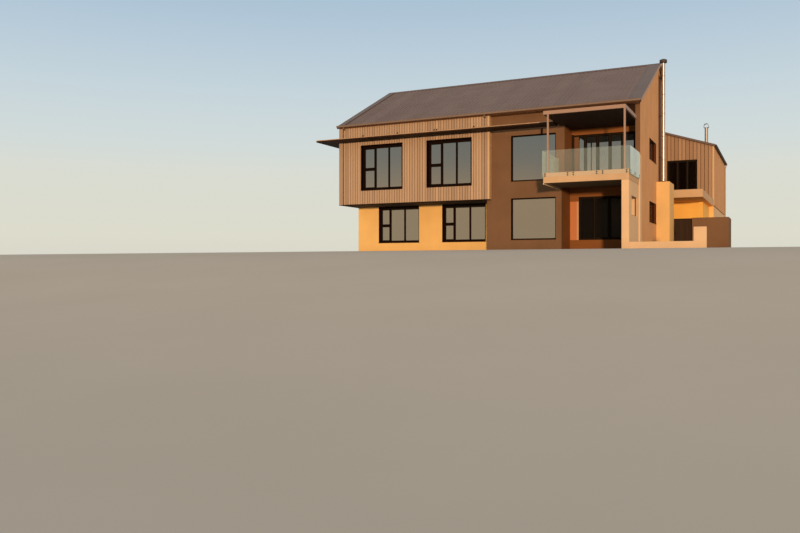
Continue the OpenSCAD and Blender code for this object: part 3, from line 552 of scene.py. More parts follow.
def timber_floor_finish(name, colour):
    """Oiled floor planks seen through the glass."""
    finish, tree, shader, place = new_finish(name)
    brick = tree.nodes.new("ShaderNodeTexBrick")
    link(tree, place, brick.inputs["Vector"])
    brick.inputs["Color1"].default_value = (*shade(colour, 0.85), 1)
    brick.inputs["Color2"].default_value = (*shade(colour, 1.15), 1)
    brick.inputs["Mortar"].default_value = (*shade(colour, 0.3), 1)
    brick.inputs["Scale"].default_value = 1.0
    brick.inputs["Mortar Size"].default_value = 0.003
    brick.inputs["Brick Width"].default_value = 1.8
    brick.inputs["Row Height"].default_value = 0.14
    fibre = grain(tree, place, 30, stretch=(0.08, 1, 1), detail=6)
    tint = blend(tree, ramp(tree, fibre, 0, 0.4, 0.45, 0.8), brick.outputs["Color"], shade(colour, 0.5))
    link(tree, tint, shader.inputs["Base Color"])
    shader.inputs["Roughness"].default_value = 0.45
    bump(tree, shader, fibre, 0.001, 0.3)
    return finish


def finish_table(paints):
    """Each finish of the house: its maker, its colour and what else the maker takes."""
    return {
        "brown_render": (render_finish, paints.brown_walls, 0.09, 0.1),
        "recess_render": (render_finish, paints.recess_walls, 0.09, 0.1),
        # The box's soffit: the brown walls' paint at half brightness, painted shade under the box
        "soffit_render": (render_finish, shade(paints.brown_walls, 0.5)),
        "tan_render": (render_finish, paints.tan_walls, 0.06, 0.14),
        "cream_render": (render_finish, paints.cream_walls, 0.05, 0.06),
        "chimney_render": (render_finish, (0.65, 0.435, 0.19), 0.05, 0.06),
        "terrace_render": (render_finish, paints.terrace_walls, 0.05, 0.06),
        "pale_render": (render_finish, paints.pale_walls, 0.05, 0.06),
        "tiles": (render_finish, paints.tiles, 0.08, 0.0),
        "slab_edge": (slab_finish, paints.slab_edges, (0.11, 0.08, 0.045)),
        "terrace_edge": (slab_finish, paints.slab_edges, (0.9, 0.4, 0.09)),
        "room_floor": (timber_floor_finish, (0.28, 0.17, 0.09)),
        "box_boards": (board_finish, paints.box_boards, paints.box_boards_warm),
        "box_trim": (board_finish, paints.box_trim, shade(paints.box_trim, 1.08), 0.05),
        "gable_boards": (board_finish, paints.gable_boards, shade(paints.gable_boards, 1.1)),
        "wing_boards": (board_finish, paints.wing_boards, shade(paints.wing_boards, 1.15), 0.14),
        "dark_ceiling": (
            board_finish, paints.dark_ceiling, shade(paints.dark_ceiling, 1.15), 0.1, (1, 0.05, 1), 0.75),
        "gate_boards": (board_finish, paints.gate_boards, shade(paints.gate_boards, 1.2)),
        "roof_sheet": (sheet_finish, paints.roof_sheets),
        "flashing": (sheet_finish, paints.flashings, 0.42),
        "gutter": (sheet_finish, (0.2, 0.145, 0.115), 0.5),
        "board_backing": (paint_finish, (0.06, 0.035, 0.02), 0.8, 0.12, 0.1),
        "fascia": (paint_finish, paints.fascias, 0.55),
        "capping": (paint_finish, paints.capping, 0.5),
        # Eave boards: real fascias, their dark reddish paint painted shade for the dark line under the gutters
        "eave_board": (paint_finish, (0.07, 0.026, 0.008), 0.6, 0.05, 0.15),
        # Eave soffits: a lighter copy of the brown paint, painted light on an underside that the sun doesn't
        # reach
        "eave_soffit": (paint_finish, (0.32, 0.18, 0.1), 0.6, 0.05, 0.15),
        "dark_gutter": (paint_finish, (0.03, 0.016, 0.009), 0.55, 0.12, 0.2),
        # Whitish paint of the slab's left edge strip: a painted highlight
        "pale_paint": (paint_finish, (0.7, 0.55, 0.4), 0.6, 0.02),
        "orange_lining": (paint_finish, (0.5, 0.19, 0.075), 0.6, 0.02),
        "pink_lining": (paint_finish, (0.55, 0.32, 0.2), 0.6, 0.02),
        "door_lining": (paint_finish, (0.14, 0.065, 0.028), 0.6, 0.02, 0.15),
        # Dark paint of the gable windows' linings, also used for the painted shadow of the flue on the gable
        "window_lining": (paint_finish, (0.08, 0.022, 0.006), 0.6, 0.02, 0.1),
        # Dark paint of the slot's frame, also used for the painted shadow line at the slab's joint
        "slot_frame": (paint_finish, (0.2, 0.085, 0.03), 0.6, 0.02, 0.15),
        "dark_metal": (paint_finish, paints.dark_metal, 0.6, 0.06, 0.1),
        "sash_metal": (paint_finish, (0.006, 0.002, 0.0008), 0.6, 0.06, 0.05),
        "door_frame": (paint_finish, (0.011, 0.009, 0.005), 0.6, 0.06, 0.1),
        "seal": (paint_finish, (0.012, 0.012, 0.012), 0.7, 0.05),
        "portal": (paint_finish, paints.portal, 0.5, 0.03),
        "cap_metal": (paint_finish, (0.045, 0.038, 0.035), 0.5, 0.1, 0.3),
        "steel": (steel_finish, paints.steel),
        "dull_steel": (steel_finish, (0.33, 0.33, 0.34), 0.5),
        "window_pane": (window_finish, paints.window_glass),
        # Near-black and dark red-brown panes: painted shade on the porch doors, the terrace door and the gable
        # windows
        "shaded_pane": (shaded_finish, (0.004, 0.002, 0.0015), 0.88),
        "gable_pane": (shaded_finish, (0.055, 0.017, 0.005), 0.9),
        "balustrade_pane": (balustrade_finish, paints.balustrade_glass),
    }


FINISHES = {}


def finish_of(name):
    """A named finish of the house, made once from the colours in the panel."""
    if name not in FINISHES:
        maker, *values = finish_table(bpy.context.scene.beach_house_finishes)[name]
        FINISHES[name] = maker(name, *values)
    return FINISHES[name]


def dress(node, name, edge=0.0):
    """Gives a solid its finish and takes the hardness off its edges."""
    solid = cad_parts[node]
    solid.data.materials.clear()
    solid.data.materials.append(finish_of(name))
    if edge:
        weld = solid.modifiers.new("weld", "WELD")
        weld.merge_threshold = 0.0002
        soften(solid, edge, 2)


# Settings


def colour_of(name, text, value):
    """A colour in the panel."""
    return bpy.props.FloatVectorProperty(
        name=name, description=text, default=value, subtype="COLOR", size=3, min=0.0, max=1.0)


def length_of(name, text, value, low, high):
    """A length in the panel, in metres, between two limits."""
    return bpy.props.FloatProperty(
        name=name, description=text, default=value, min=low, max=high, unit="LENGTH", precision=3)


class BeachHouseFinishes(bpy.types.PropertyGroup):
    """Colours of the house's paints, boards, sheets and glass."""

    brown_walls: colour_of("Brown walls", "Paint of the rendered front and yard wall", (0.15, 0.085, 0.047))
    tan_walls: colour_of("Tan walls", "Paint of the right gable and of the wing's sides", (0.56, 0.302, 0.14))
    recess_walls: colour_of("Recess walls", "Paint inside the recess on both floors", (0.21, 0.083, 0.024))
    cream_walls: colour_of("Cream walls", "Paint of the ground-floor walls", (0.7, 0.46, 0.175))
    pale_walls: colour_of("Pale walls", "Paint of the balcony's wall and the low wall", (0.62, 0.445, 0.28))
    terrace_walls: colour_of("Terrace walls", "Paint of the room under the terrace", (0.78, 0.46, 0.11))
    slab_edges: colour_of("Slab edges", "Paint of the balcony and terrace edges", (0.505, 0.352, 0.216))
    box_boards: colour_of("Box boards", "Cooler tone of the box's boards", (0.345, 0.25, 0.183))
    box_boards_warm: colour_of("Box boards, warm", "Warmer tone of the box's boards", (0.395, 0.28, 0.19))
    box_trim: colour_of("Box trim", "Corner trims of the upper box", (0.5, 0.35, 0.22))
    gable_boards: colour_of("Gable boards", "Boards of the left gable", (0.3, 0.22, 0.16))
    wing_boards: colour_of("Wing boards", "Boards of the rear wing", (0.28, 0.18, 0.115))
    roof_sheets: colour_of("Roof sheets", "Paint of the ribbed roof sheets", (0.141, 0.1, 0.099))
    flashings: colour_of("Flashings", "Paint of the ridge and verges", (0.1, 0.071, 0.072))
    fascias: colour_of("Fascias", "Paint of the roofs' edge boards", (0.14, 0.095, 0.065))
    capping: colour_of("Capping", "Paint of the canopy's top edge", (0.33, 0.22, 0.14))
    dark_metal: colour_of("Dark metal", "Paint of the frames, canopy and clamps", (0.02, 0.0075, 0.002))
    dark_ceiling: colour_of("Dark ceiling", "Stain of the balcony's ceiling boards", (0.028, 0.015, 0.01))
    portal: colour_of("Portal", "Paint of the steel portal", (0.3, 0.2, 0.155))
    steel: colour_of("Steel", "Bright metal of the flues", (0.52, 0.49, 0.46))
    window_glass: colour_of("Window glass", "Tint of the windows", (0.018, 0.024, 0.026))
    # The balustrade's pale tint is a painted sheen of the bright sky over the glass
    balustrade_glass: colour_of("Balustrade glass", "Tint of the balustrade", (0.68, 0.88, 0.86))
    gate_boards: colour_of("Gate boards", "Stain of the yard gate", (0.02, 0.009, 0.004))
    tiles: colour_of("Tiles", "Paving of the balcony and the terrace", (0.36, 0.29, 0.23))


class BeachHouseSizes(bpy.types.PropertyGroup):
    """Sizes of the pieces that dress the solids."""

    board_pitch: length_of("Board pitch", "Distance between the boards of the box and gable", 0.152, 0.1, 0.3)
    board_gap: length_of("Board gap", "Open joint between two boards", 0.022, 0.004, 0.06)
    board_thick: length_of("Board thickness", "Thickness of the boards", 0.02, 0.01, 0.04)
    wing_pitch: length_of("Wing board pitch", "Distance between the boards of the wing", 0.22, 0.15, 0.5)
    wing_gap: length_of("Wing board gap", "Open joint between two boards of the wing", 0.03, 0.004, 0.06)
    rib_pitch: length_of("Rib pitch", "Distance between the ribs of a roof sheet", 0.2367, 0.15, 0.45)
    rib_depth: length_of("Rib depth", "Height of the ribs of a roof sheet", 0.018, 0.01, 0.026)
    verge_width: length_of("Verge width", "Width of the flashing on a roof beside its gable", 0.42, 0.1, 0.6)
    tile_pitch: length_of("Tile pitch", "Side of a paving tile with its joint", 0.6, 0.3, 1.0)
    fill_light: bpy.props.FloatProperty(
        name="Fill light", description="Strength of the soft sky", default=0.62, min=0.0, max=3.0)
    sun_light: bpy.props.FloatProperty(
        name="Sun light", description="Strength of the low warm sun", default=3.2, min=0.0, max=20.0)


# Pieces


class Stage(bpy.types.Operator):
    """Sets the camera, the pale ground that falls away in front, the low sun and the soft sky"""

    bl_idname = "beach_house.stage"
    bl_label = "Stage and light"

    def execute(self, context):
        scene = context.scene
        sizes = scene.beach_house_sizes
        lens = bpy.data.cameras.new("camera")
        lens.lens, lens.sensor_width, lens.sensor_fit, lens.clip_end = LENS, FILM, "HORIZONTAL", 400.0
        camera = bpy.data.objects.new("camera", lens)
        camera.location = CORNER + Vector(CAMERA)
        camera.rotation_euler = (math.radians(90), 0, math.radians(CAMERA_TURN))
        scene.collection.objects.link(camera)
        scene.camera = camera

        # Ground: level under the house, then a smooth fall towards the camera
        reach, crest, foot, depth, steps = 240.0, -15.2, -50.0, 2.4, 24
        rows = [(reach, 0.0), (crest, 0.0)]
        for k in range(1, steps + 1):
            fall = (1 - math.cos(math.pi * k / steps)) / 2
            rows.append((crest + (foot - crest) * k / steps, -depth * fall))
        rows.append((-reach, -depth))
        points = [(x, y, z) for y, z in rows for x in (-reach, reach)]
        faces = [(2 * i, 2 * i + 2, 2 * i + 3, 2 * i + 1) for i in range(len(rows) - 1)]
        mesh = bpy.data.meshes.new("ground")
        mesh.from_pydata(points, [], faces)
        for face in mesh.polygons:
            face.use_smooth = True
        ground = bpy.data.objects.new("ground", mesh)
        scene.collection.objects.link(ground)
        finish, tree, shader, place = new_finish("ground")
        patches = grain(tree, place, 0.25, detail=3)
        link(tree, blend(tree, patches, (0.5, 0.47, 0.43), (0.56, 0.53, 0.49)), shader.inputs["Base Color"])
        shader.inputs["Roughness"].default_value = 0.95
        shader.inputs["Specular IOR Level"].default_value = 0.1
        mesh.materials.append(finish)

        sun = bpy.data.lights.new("sun", "SUN")
        sun.energy, sun.angle, sun.color = sizes.sun_light, math.radians(SUN_SOFTNESS), SUN_COLOUR
        lamp = bpy.data.objects.new("sun", sun)
        lamp.rotation_euler = Vector(SUN_WAY).to_track_quat("-Z", "Y").to_euler()
        scene.collection.objects.link(lamp)

        world = bpy.data.worlds.new("sky")
        scene.world = world
        world.use_nodes = True
        tree = world.node_tree
        sky = tree.nodes["Background"]
        sky.inputs["Strength"].default_value = sizes.fill_light
        direction = tree.nodes.new("ShaderNodeTexCoord").outputs["Generated"]
        axes = tree.nodes.new("ShaderNodeSeparateXYZ")
        link(tree, direction, axes.inputs[0])
        height = ramp(tree, axes.outputs["Z"], 0, 1, -0.2, 1.0)

        def layers(colours):
            """The sky's colour at the height that is looked at."""
            node = tree.nodes.new("ShaderNodeValToRGB")
            link(tree, height, node.inputs["Fac"])
            stops = node.color_ramp.elements
            for stop, (position, colour) in zip(stops, (colours[0], colours[-1])):
                stop.position, stop.color = position, (*colour, 1)
            for position, colour in colours[1:-1]:
                stops.new(position).color = (*colour, 1)
            return node.outputs["Color"]

        side = tree.nodes.new("ShaderNodeVectorMath")
        side.operation = "DOT_PRODUCT"
        side.inputs[1].default_value = (0.6, -0.8, 0.0)
        link(tree, direction, side.inputs[0])
        share = ramp(tree, side.outputs["Value"], 0, 1, -0.3, 0.5)
        link(tree, blend(tree, share, layers(SKY_BEHIND), layers(SKY_BEFORE)), sky.inputs["Color"])
        scene.view_settings.view_transform = "Standard"
        return {"FINISHED"}


class Walls(bpy.types.Operator):
    """Paints the rendered walls and slabs, and gives the rooms their floors"""

    bl_idname = "beach_house.walls"
    bl_label = "Walls and floors"

    def execute(self, context):
        for node in ("plastered_front", "rear_wall", "rear_step_walls", "yard_wall"):
            dress(node, "brown_render", 0.008)
        dress("recess_walls", "recess_render", 0.008)
        dress("right_gable", "tan_render", 0.008)
        for node in ("lower_front_wall", "left_lower_wall"):
            dress(node, "cream_render", 0.012)
        dress("chimney_block", "chimney_render", 0.012)
        dress("terrace_room", "terrace_render", 0.012)
        for node in ("balcony_wall", "low_wall"):
            dress(node, "pale_render", 0.012)
        # The box's soffit takes the brown paint at half brightness: painted shade under the box
        dress("box_soffit", "soffit_render")
        door, head = PORCH_DOOR[0], 1.96
        single("porch_door_lining", "orange_lining", "brown_plaster",
               (-3.74, door - 0.1), (PORCH_DEPTH - 0.012, PORCH_DEPTH), (0.0, head))
        single("porch_door_jamb", "pink_lining", "brown_plaster",
               (door - 0.1, door - 0.002), (PORCH_DEPTH - 0.016, PORCH_DEPTH), (0.0, head))
        door = BALCONY_DOOR[0]
        single("balcony_door_jamb", "door_lining", "brown_plaster",
               (door + 0.09, door + 0.32), (RECESS_DEPTH + 0.105, RECESS_DEPTH + 0.118),
               (STOREY + 0.02, STOREY + 2.3))
        # A dark strip at the left of the balcony doors: painted shadow of the reveal
        single("balcony_door_stile", "dark_metal", "brown_plaster",
               (door - 0.06, door + 0.09), (RECESS_DEPTH - 0.014, RECESS_DEPTH - 0.001),
               (STOREY + 0.012, STOREY + 2.4))
        under = roof_z(0.0) - ROOF_THICK
        single("gable_front_end", "brown_render", "brown_plaster",
               (-0.22, -0.001), (-0.005, 0.0), (STOREY, under - 0.02), 0.0)
        single("balcony_bulkhead", "dark_metal", "brown_plaster",
               (RECESS_LEFT, RECESS_RIGHT), (-0.012, -0.002), (CEILING + 0.002, under - 0.03))
        # A dark strip on the gable just behind the flue: painted shadow of the flue
        single("flue_backing", "window_lining", "dark_metal", (0.0, 0.012), (FLUE_SHADOW_FRONT, FLUE_SHADOW_REAR),
               (CHIMNEY_TOP + 0.002, roof_z(FLUE_SHADOW_REAR) - ROOF_THICK - 0.02))
        dress("balcony_slab", "slab_edge", 0.008)
        dress("terrace_slab", "terrace_edge", 0.008)
        for node in ("ground_floor", "upper_floor", "wing_floors"):
            dress(node, "room_floor")
        for node in ("clad_box", "left_gable", "wing_front_wall", "wing_side_walls", "wing_rear_wall"):
            dress(node, "board_backing")
        return {"FINISHED"}


class BoxBoards(bpy.types.Operator):
    """Lays the varied vertical boards of the upper box, with its corner trims and drip edge"""

    bl_idname = "beach_house.box_boards"
    bl_label = "Box boards"

    def execute(self, context):
        sizes = context.scene.beach_house_sizes
        thick, gap = sizes.board_thick, sizes.board_gap
        front = on_wall("front", BOX_FRONT)
        top = roof_z(BOX_FRONT - thick) - ROOF_THICK - 0.004
        half = BOX_WINDOW[0] / 2
        holes = [(x - half, x + half, BOX_SILL, BOX_SILL + BOX_WINDOW[1]) for x in WINDOW_CENTRES]
        holes.append((BOX_LEFT - 1, BOX_RIGHT + 1, *CANOPY_Z))
        work = Solids()
        boards(work, front, (BOX_LEFT + 0.004, BOX_RIGHT - 0.09), sizes.board_pitch, gap, thick,
               BOX_BOTTOM + 0.012, lambda u: top, holes, "box front")
        work.make("box_boards", "box_boards", "board_cladding", edge=0.003)

        trims, fin = Solids(), Solids()
        right, far_left = on_wall("right", BOX_RIGHT), on_wall("front", FIN_FRONT)
        for run in ((BOX_BOTTOM, CANOPY_Z[0]), (CANOPY_Z[1], top)):
            wall_bar(trims, front, (BOX_RIGHT - 0.085, BOX_RIGHT + 0.024), (0, thick + 0.006), run, 0.6)
            wall_bar(trims, right, (BOX_FRONT, -0.001), (0, 0.024), run, 0.3)
            wall_bar(fin, far_left, (HOUSE_LEFT - 0.02, BOX_LEFT - 0.002), (0, 0.018), run)
        trims.make("box_corner_trims", "box_trim", "board_cladding", edge=0.003)
        fin.make("box_left_fin", "gable_boards", "board_cladding", edge=0.003)

        drip, low = Solids(), BOX_BOTTOM - 0.02
        wall_bar(drip, front, (BOX_LEFT, BOX_RIGHT + 0.028), (-0.05, thick + 0.012), (low, BOX_BOTTOM + 0.01))
        drip.bar((BOX_RIGHT - 0.001, BOX_RIGHT + 0.028), (BOX_FRONT - 0.01, -0.001), (low, BOX_BOTTOM))
        drip.make("box_drip_edge", "dark_metal", "dark_metal", edge=0.002)

        soffit, rows = Solids(), 12
        step = (UNDERCUT - 0.01) / rows
        for i in range(rows):
            near = 0.005 + i * step
            soffit.bar((BOX_LEFT + 0.01, BOX_RIGHT - 0.235), (near, near + step - 0.006),
                       (BOX_BOTTOM - 0.016, BOX_BOTTOM), random.Random(i).random())
        soffit.make("box_soffit_boards", "dark_ceiling", "board_cladding", edge=0.002)
        return {"FINISHED"}


class GableBoards(bpy.types.Operator):
    """Lays the boards of the left gable up to both roof slopes"""

    bl_idname = "beach_house.gable_boards"
    bl_label = "Left gable boards"

    def execute(self, context):
        sizes = context.scene.beach_house_sizes
        holes = [
            (SIDE_NEAR, SIDE_NEAR + SIDE_WINDOW[0], SIDE_SILLS[1], SIDE_SILLS[1] + SIDE_WINDOW[1]),
            (FIN_FRONT - 1, CANOPY_BACK + 0.002, *CANOPY_Z),
        ]
        work = Solids()
        boards(work, on_wall("left", HOUSE_LEFT), (FIN_FRONT, HOUSE_REAR - 0.1), sizes.board_pitch,
               sizes.board_gap, sizes.board_thick, BOX_BOTTOM + 0.012,
               lambda u: roof_z(u) - ROOF_THICK - 0.01, holes, "left gable", (RIDGE_Y,))
        work.make("left_gable_boards", "gable_boards", "board_cladding", edge=0.003)
        single("left_gable_corner", "box_trim", "board_cladding", (HOUSE_LEFT - 0.024, HOUSE_LEFT + 0.09),
               (HOUSE_REAR - 0.1, HOUSE_REAR + 0.024), (BOX_BOTTOM, roof_z(HOUSE_REAR) - ROOF_THICK - 0.02),
               0.003, 0.4)
        single("left_gable_drip_edge", "dark_metal", "dark_metal", (HOUSE_LEFT - 0.03, HOUSE_LEFT),
               (FIN_FRONT - 0.02, HOUSE_REAR + 0.03), (BOX_BOTTOM - 0.02, BOX_BOTTOM + 0.01))
        return {"FINISHED"}


class WingBoards(bpy.types.Operator):
    """Lays the wide boards of the rear wing, and paints its sides in two colours"""

    bl_idname = "beach_house.wing_boards"
    bl_label = "Wing boards"

    def execute(self, context):
        sizes = context.scene.beach_house_sizes
        pitch, gap, thick = sizes.wing_pitch, sizes.wing_gap, 0.028

        def under(x):
            """Underside of the wing's roof, less a shadow gap."""
            return wing_z(x) - WING_THICK - 0.012

        left, right, sill, head = TERRACE_DOOR
        floor = STOREY + 0.015
        window = (WING_RIDGE_X - SIDE_WINDOW[0] / 2, WING_RIDGE_X + SIDE_WINDOW[0] / 2)
        runs = [
            ("wing_front_boards", "front", WING_FRONT, (STEP_X + 0.03, WING_RIGHT - 0.075), floor, under,
             [(left, right, sill - 0.1, head)], ()),
            ("wing_step_boards", "right", STEP_X, (HOUSE_REAR + 0.03, WING_FRONT - 0.03), floor,
             lambda u: under(STEP_X), [], ()),
            ("wing_rear_boards", "rear", WING_REAR, (WING_LEFT, WING_RIGHT), WING_LOW, under,
             [(*window, z, z + SIDE_WINDOW[1]) for z in SIDE_SILLS], (WING_RIDGE_X,)),
        ]
        for name, side, face, run, bottom, top, holes, breaks in runs:
            work = Solids()
            boards(work, on_wall(side, face), run, pitch, gap, thick, bottom, top, holes, name, breaks)
            work.make(name, "wing_boards", "board_cladding", edge=0.003)

        # The cheek between the main roof and the wing's roof
        cheek, lift = Solids(), 0.04
        top, stop = under(STEP_X), HOUSE_REAR + 0.018
        start = RIDGE_Y + (RIDGE_Z + lift - top) / math.tan(ROOF_PITCH)
        count = max(1, round((stop - start) / pitch))
        width = (stop - start) / count
        for i in range(count):
            a, b = start + i * width + gap / 2, start + (i + 1) * width - gap / 2
            cheek.sweep([(a, roof_z(a) + lift), (b, roof_z(b) + lift), (b, top), (a, top)],
                        (STEP_X, STEP_X + thick), lambda y, z, x: (x, y, z), 0.35 + 0.1 * (i % 4))
        cheek.make("wing_cheek_boards", "wing_boards", "board_cladding", edge=0.003)

        upper, lower, low = Solids(), Solids(), (GROUND, WING_LOW - 0.03)
        sides, back = (HOUSE_REAR + 0.002, WING_REAR), (WING_REAR - 0.001, WING_REAR + 0.004)
        upper.bar((WING_RIGHT, WING_RIGHT + 0.04), (WING_FRONT + 0.02, WING_REAR),
                  (WING_LOW, under(WING_RIGHT)))
        upper.bar((WING_LEFT - 0.04, WING_LEFT), sides, (WING_LOW, under(WING_LEFT)))
        upper.make("wing_upper_render", "tan_render", "board_cladding", edge=0.006)
        lower.bar((WING_RIGHT - 0.001, WING_RIGHT + 0.004), (WING_FRONT, WING_REAR), low)
        lower.bar((WING_LEFT - 0.004, WING_LEFT + 0.001), sides, low)
        for run in ((WING_LEFT, window[0]), (window[1], WING_RIGHT)):
            lower.bar(run, back, low)
        for run in ((GROUND, SIDE_SILLS[0]), (SIDE_SILLS[0] + SIDE_WINDOW[1], low[1])):
            lower.bar(window, back, run)
        lower.make("wing_lower_render", "pale_render", "brown_plaster")
        single("wing_front_strip", "cream_render", "cream_plaster",
               (TERRACE_ROOM_RIGHT + 0.001, WING_RIGHT + 0.004), (WING_FRONT - 0.005, WING_FRONT),
               (GROUND, TERRACE_BOTTOM - 0.002), 0.0)

        trims, out, top = Solids(), 0.035, under(WING_RIGHT)
        trims.bar((WING_RIGHT - 0.07, WING_RIGHT + out), (WING_FRONT - out, WING_FRONT), (STOREY, top), 0.8)
        trims.bar((WING_RIGHT, WING_RIGHT + out), (WING_FRONT, WING_FRONT + 0.07), (WING_LOW, top), 0.8)
        trims.make("wing_corner_trim", "box_trim", "board_cladding", edge=0.003)
        return {"FINISHED"}


def sheets(work, run, ends, place, sizes, seed):
    """Ribbed sheets side by side along a run; ends gives where a sheet starts and stops up the slope."""
    rng = random.Random(seed)
    pitch, depth = sizes.rib_pitch, sizes.rib_depth
    outline = ((0.0, 0), (0.36, 0), (0.44, 1), (0.56, 1), (0.64, 0))
    ribs = round(SHEET_COVER / pitch)
    start = run[0]
    while start < run[1] - 0.01:
        stop = min(start + ribs * pitch, run[1])
        tone = rng.random()
        stations = [(start + (k + across) * pitch, rise) for k in range(ribs) for across, rise in outline]
        stations = [station for station in stations if station[0] < stop - 0.001] + [(stop, 0)]
        points, faces, previous = [], [], None
        for u, rise in stations:
            limits = ends(u)
            if limits is None or abs(limits[1] - limits[0]) < 0.01:
                if previous is not None:
                    faces.append((previous, previous + 2, previous + 3, previous + 1))
                previous = None
                continue
            base, height = len(points), SHEET_LIFT + rise * depth
            points += [place(u, v, height + t) for t in (0.0, SHEET_THICK) for v in limits]
            if previous is None:
                faces.append((base, base + 1, base + 3, base + 2))
            else:
                a = previous
                faces += [(a, a + 1, base + 1, base), (a + 2, base + 2, base + 3, a + 3),
                          (a, base, base + 2, a + 2), (a + 1, a + 3, base + 3, base + 1)]
            previous = base
        if previous is not None:
            faces.append((previous, previous + 2, previous + 3, previous + 1))
        if points:
            work.add(points, faces, tone)
        start = stop


def main_slope(side):
    """Turns (along the ridge, depth, out of the slope) to house coordinates on a main roof slope."""
    lean = math.sin(ROOF_PITCH) * (-1 if side == "front" else 1)
    return lambda x, y, n: (x, y + n * lean, roof_z(y) + n * math.cos(ROOF_PITCH))


def wing_slope(side):
    """Turns (depth, across the wing, out of the slope) to house coordinates on a slope of the wing's roof."""
    lean = math.sin(WING_PITCH) * (-1 if side == "left" else 1)
    return lambda y, x, n: (x + n * lean, y, wing_z(x) + n * math.cos(WING_PITCH))


class RoofSheets(bpy.types.Operator):
    """Lays the ribbed sheets of the main roof and the wing's roof"""

    bl_idname = "beach_house.roof_sheets"
    bl_label = "Roof sheets"

    def execute(self, context):
        sizes = context.scene.beach_house_sizes
        for node in ("front_roof", "rear_roof", "wing_roof"):
            dress(node, "fascia")

        def front_ends(x):
            """Where a sheet of the front slope starts and stops."""
            return EAVE_Y - 0.045, RIDGE_Y - 0.02

        def rear_ends(x):
            """Where a sheet of the rear slope starts and stops; it is shorter beside the step."""
            return RIDGE_Y + 0.02, (STEP_Y + 0.09 if x > STEP_EAVE else REAR_EAVE + 0.045)

        for side, ends in (("front", front_ends), ("rear", rear_ends)):
            work, run = Solids(), (ROOF_LEFT + 0.01, ROOF_RIGHT - 0.01)
            sheets(work, run, ends, main_slope(side), sizes, side + " slope")
            work.make(side + "_roof_sheets", "roof_sheet", "roof_sheet", smooth=True)

        def wing_ends(side):
            """Where the wing's sheets start and stop: at the ridge, and at the eave or the main roof."""
            def ends(y):
                far = 99.0 if y > REAR_EAVE else (WING_RIDGE_Z - roof_z(y)) / math.tan(WING_PITCH)
                if far < 0.05:
                    return None
                if side == "left":
                    return WING_RIDGE_X - 0.02, max(WING_ROOF_LEFT - 0.045, WING_RIDGE_X - far)
                limit = WING_ROOF_RIGHT + 0.045 if y > WING_OVERHANG else STEP_EAVE
                return WING_RIDGE_X + 0.02, min(limit, WING_RIDGE_X + far)
            return ends

        for side in ("left", "right"):
            work, run = Solids(), (RIDGE_Y, WING_REAR + 0.09)
            sheets(work, run, wing_ends(side), wing_slope(side), sizes, "wing " + side)
            work.make("wing_roof_sheets_" + side, "roof_sheet", "roof_sheet", smooth=True)
        return {"FINISHED"}


def ridge_outline(half, rise):
    """Half-round ridge with two folded wings, as (across, up) from the ridge line."""
    crown = 0.035
    edge, shoulder = TRIM_LIFT - half * rise, TRIM_LIFT - crown * rise + TRIM_THICK
    arc = [math.pi * (1 - k / 8) for k in range(1, 8)]
    return [(-half, edge - 0.012), (-half, edge + TRIM_THICK), (-crown, shoulder),
            *[(crown * math.cos(a), shoulder + crown * 0.7 * math.sin(a)) for a in arc],
            (crown, shoulder), (half, edge + TRIM_THICK), (half, edge - 0.012)]


def ridge_caps(work, outline, start, stop, over, place):
    """Caps of one length along a ridge; the last runs over its end."""
    at = start
    while at < stop:
        end = min(at + TRIM_LENGTH, stop + over)
        work.sweep(outline, (at, end - 0.006), place, (at * 7.3) % 1)
        at = end


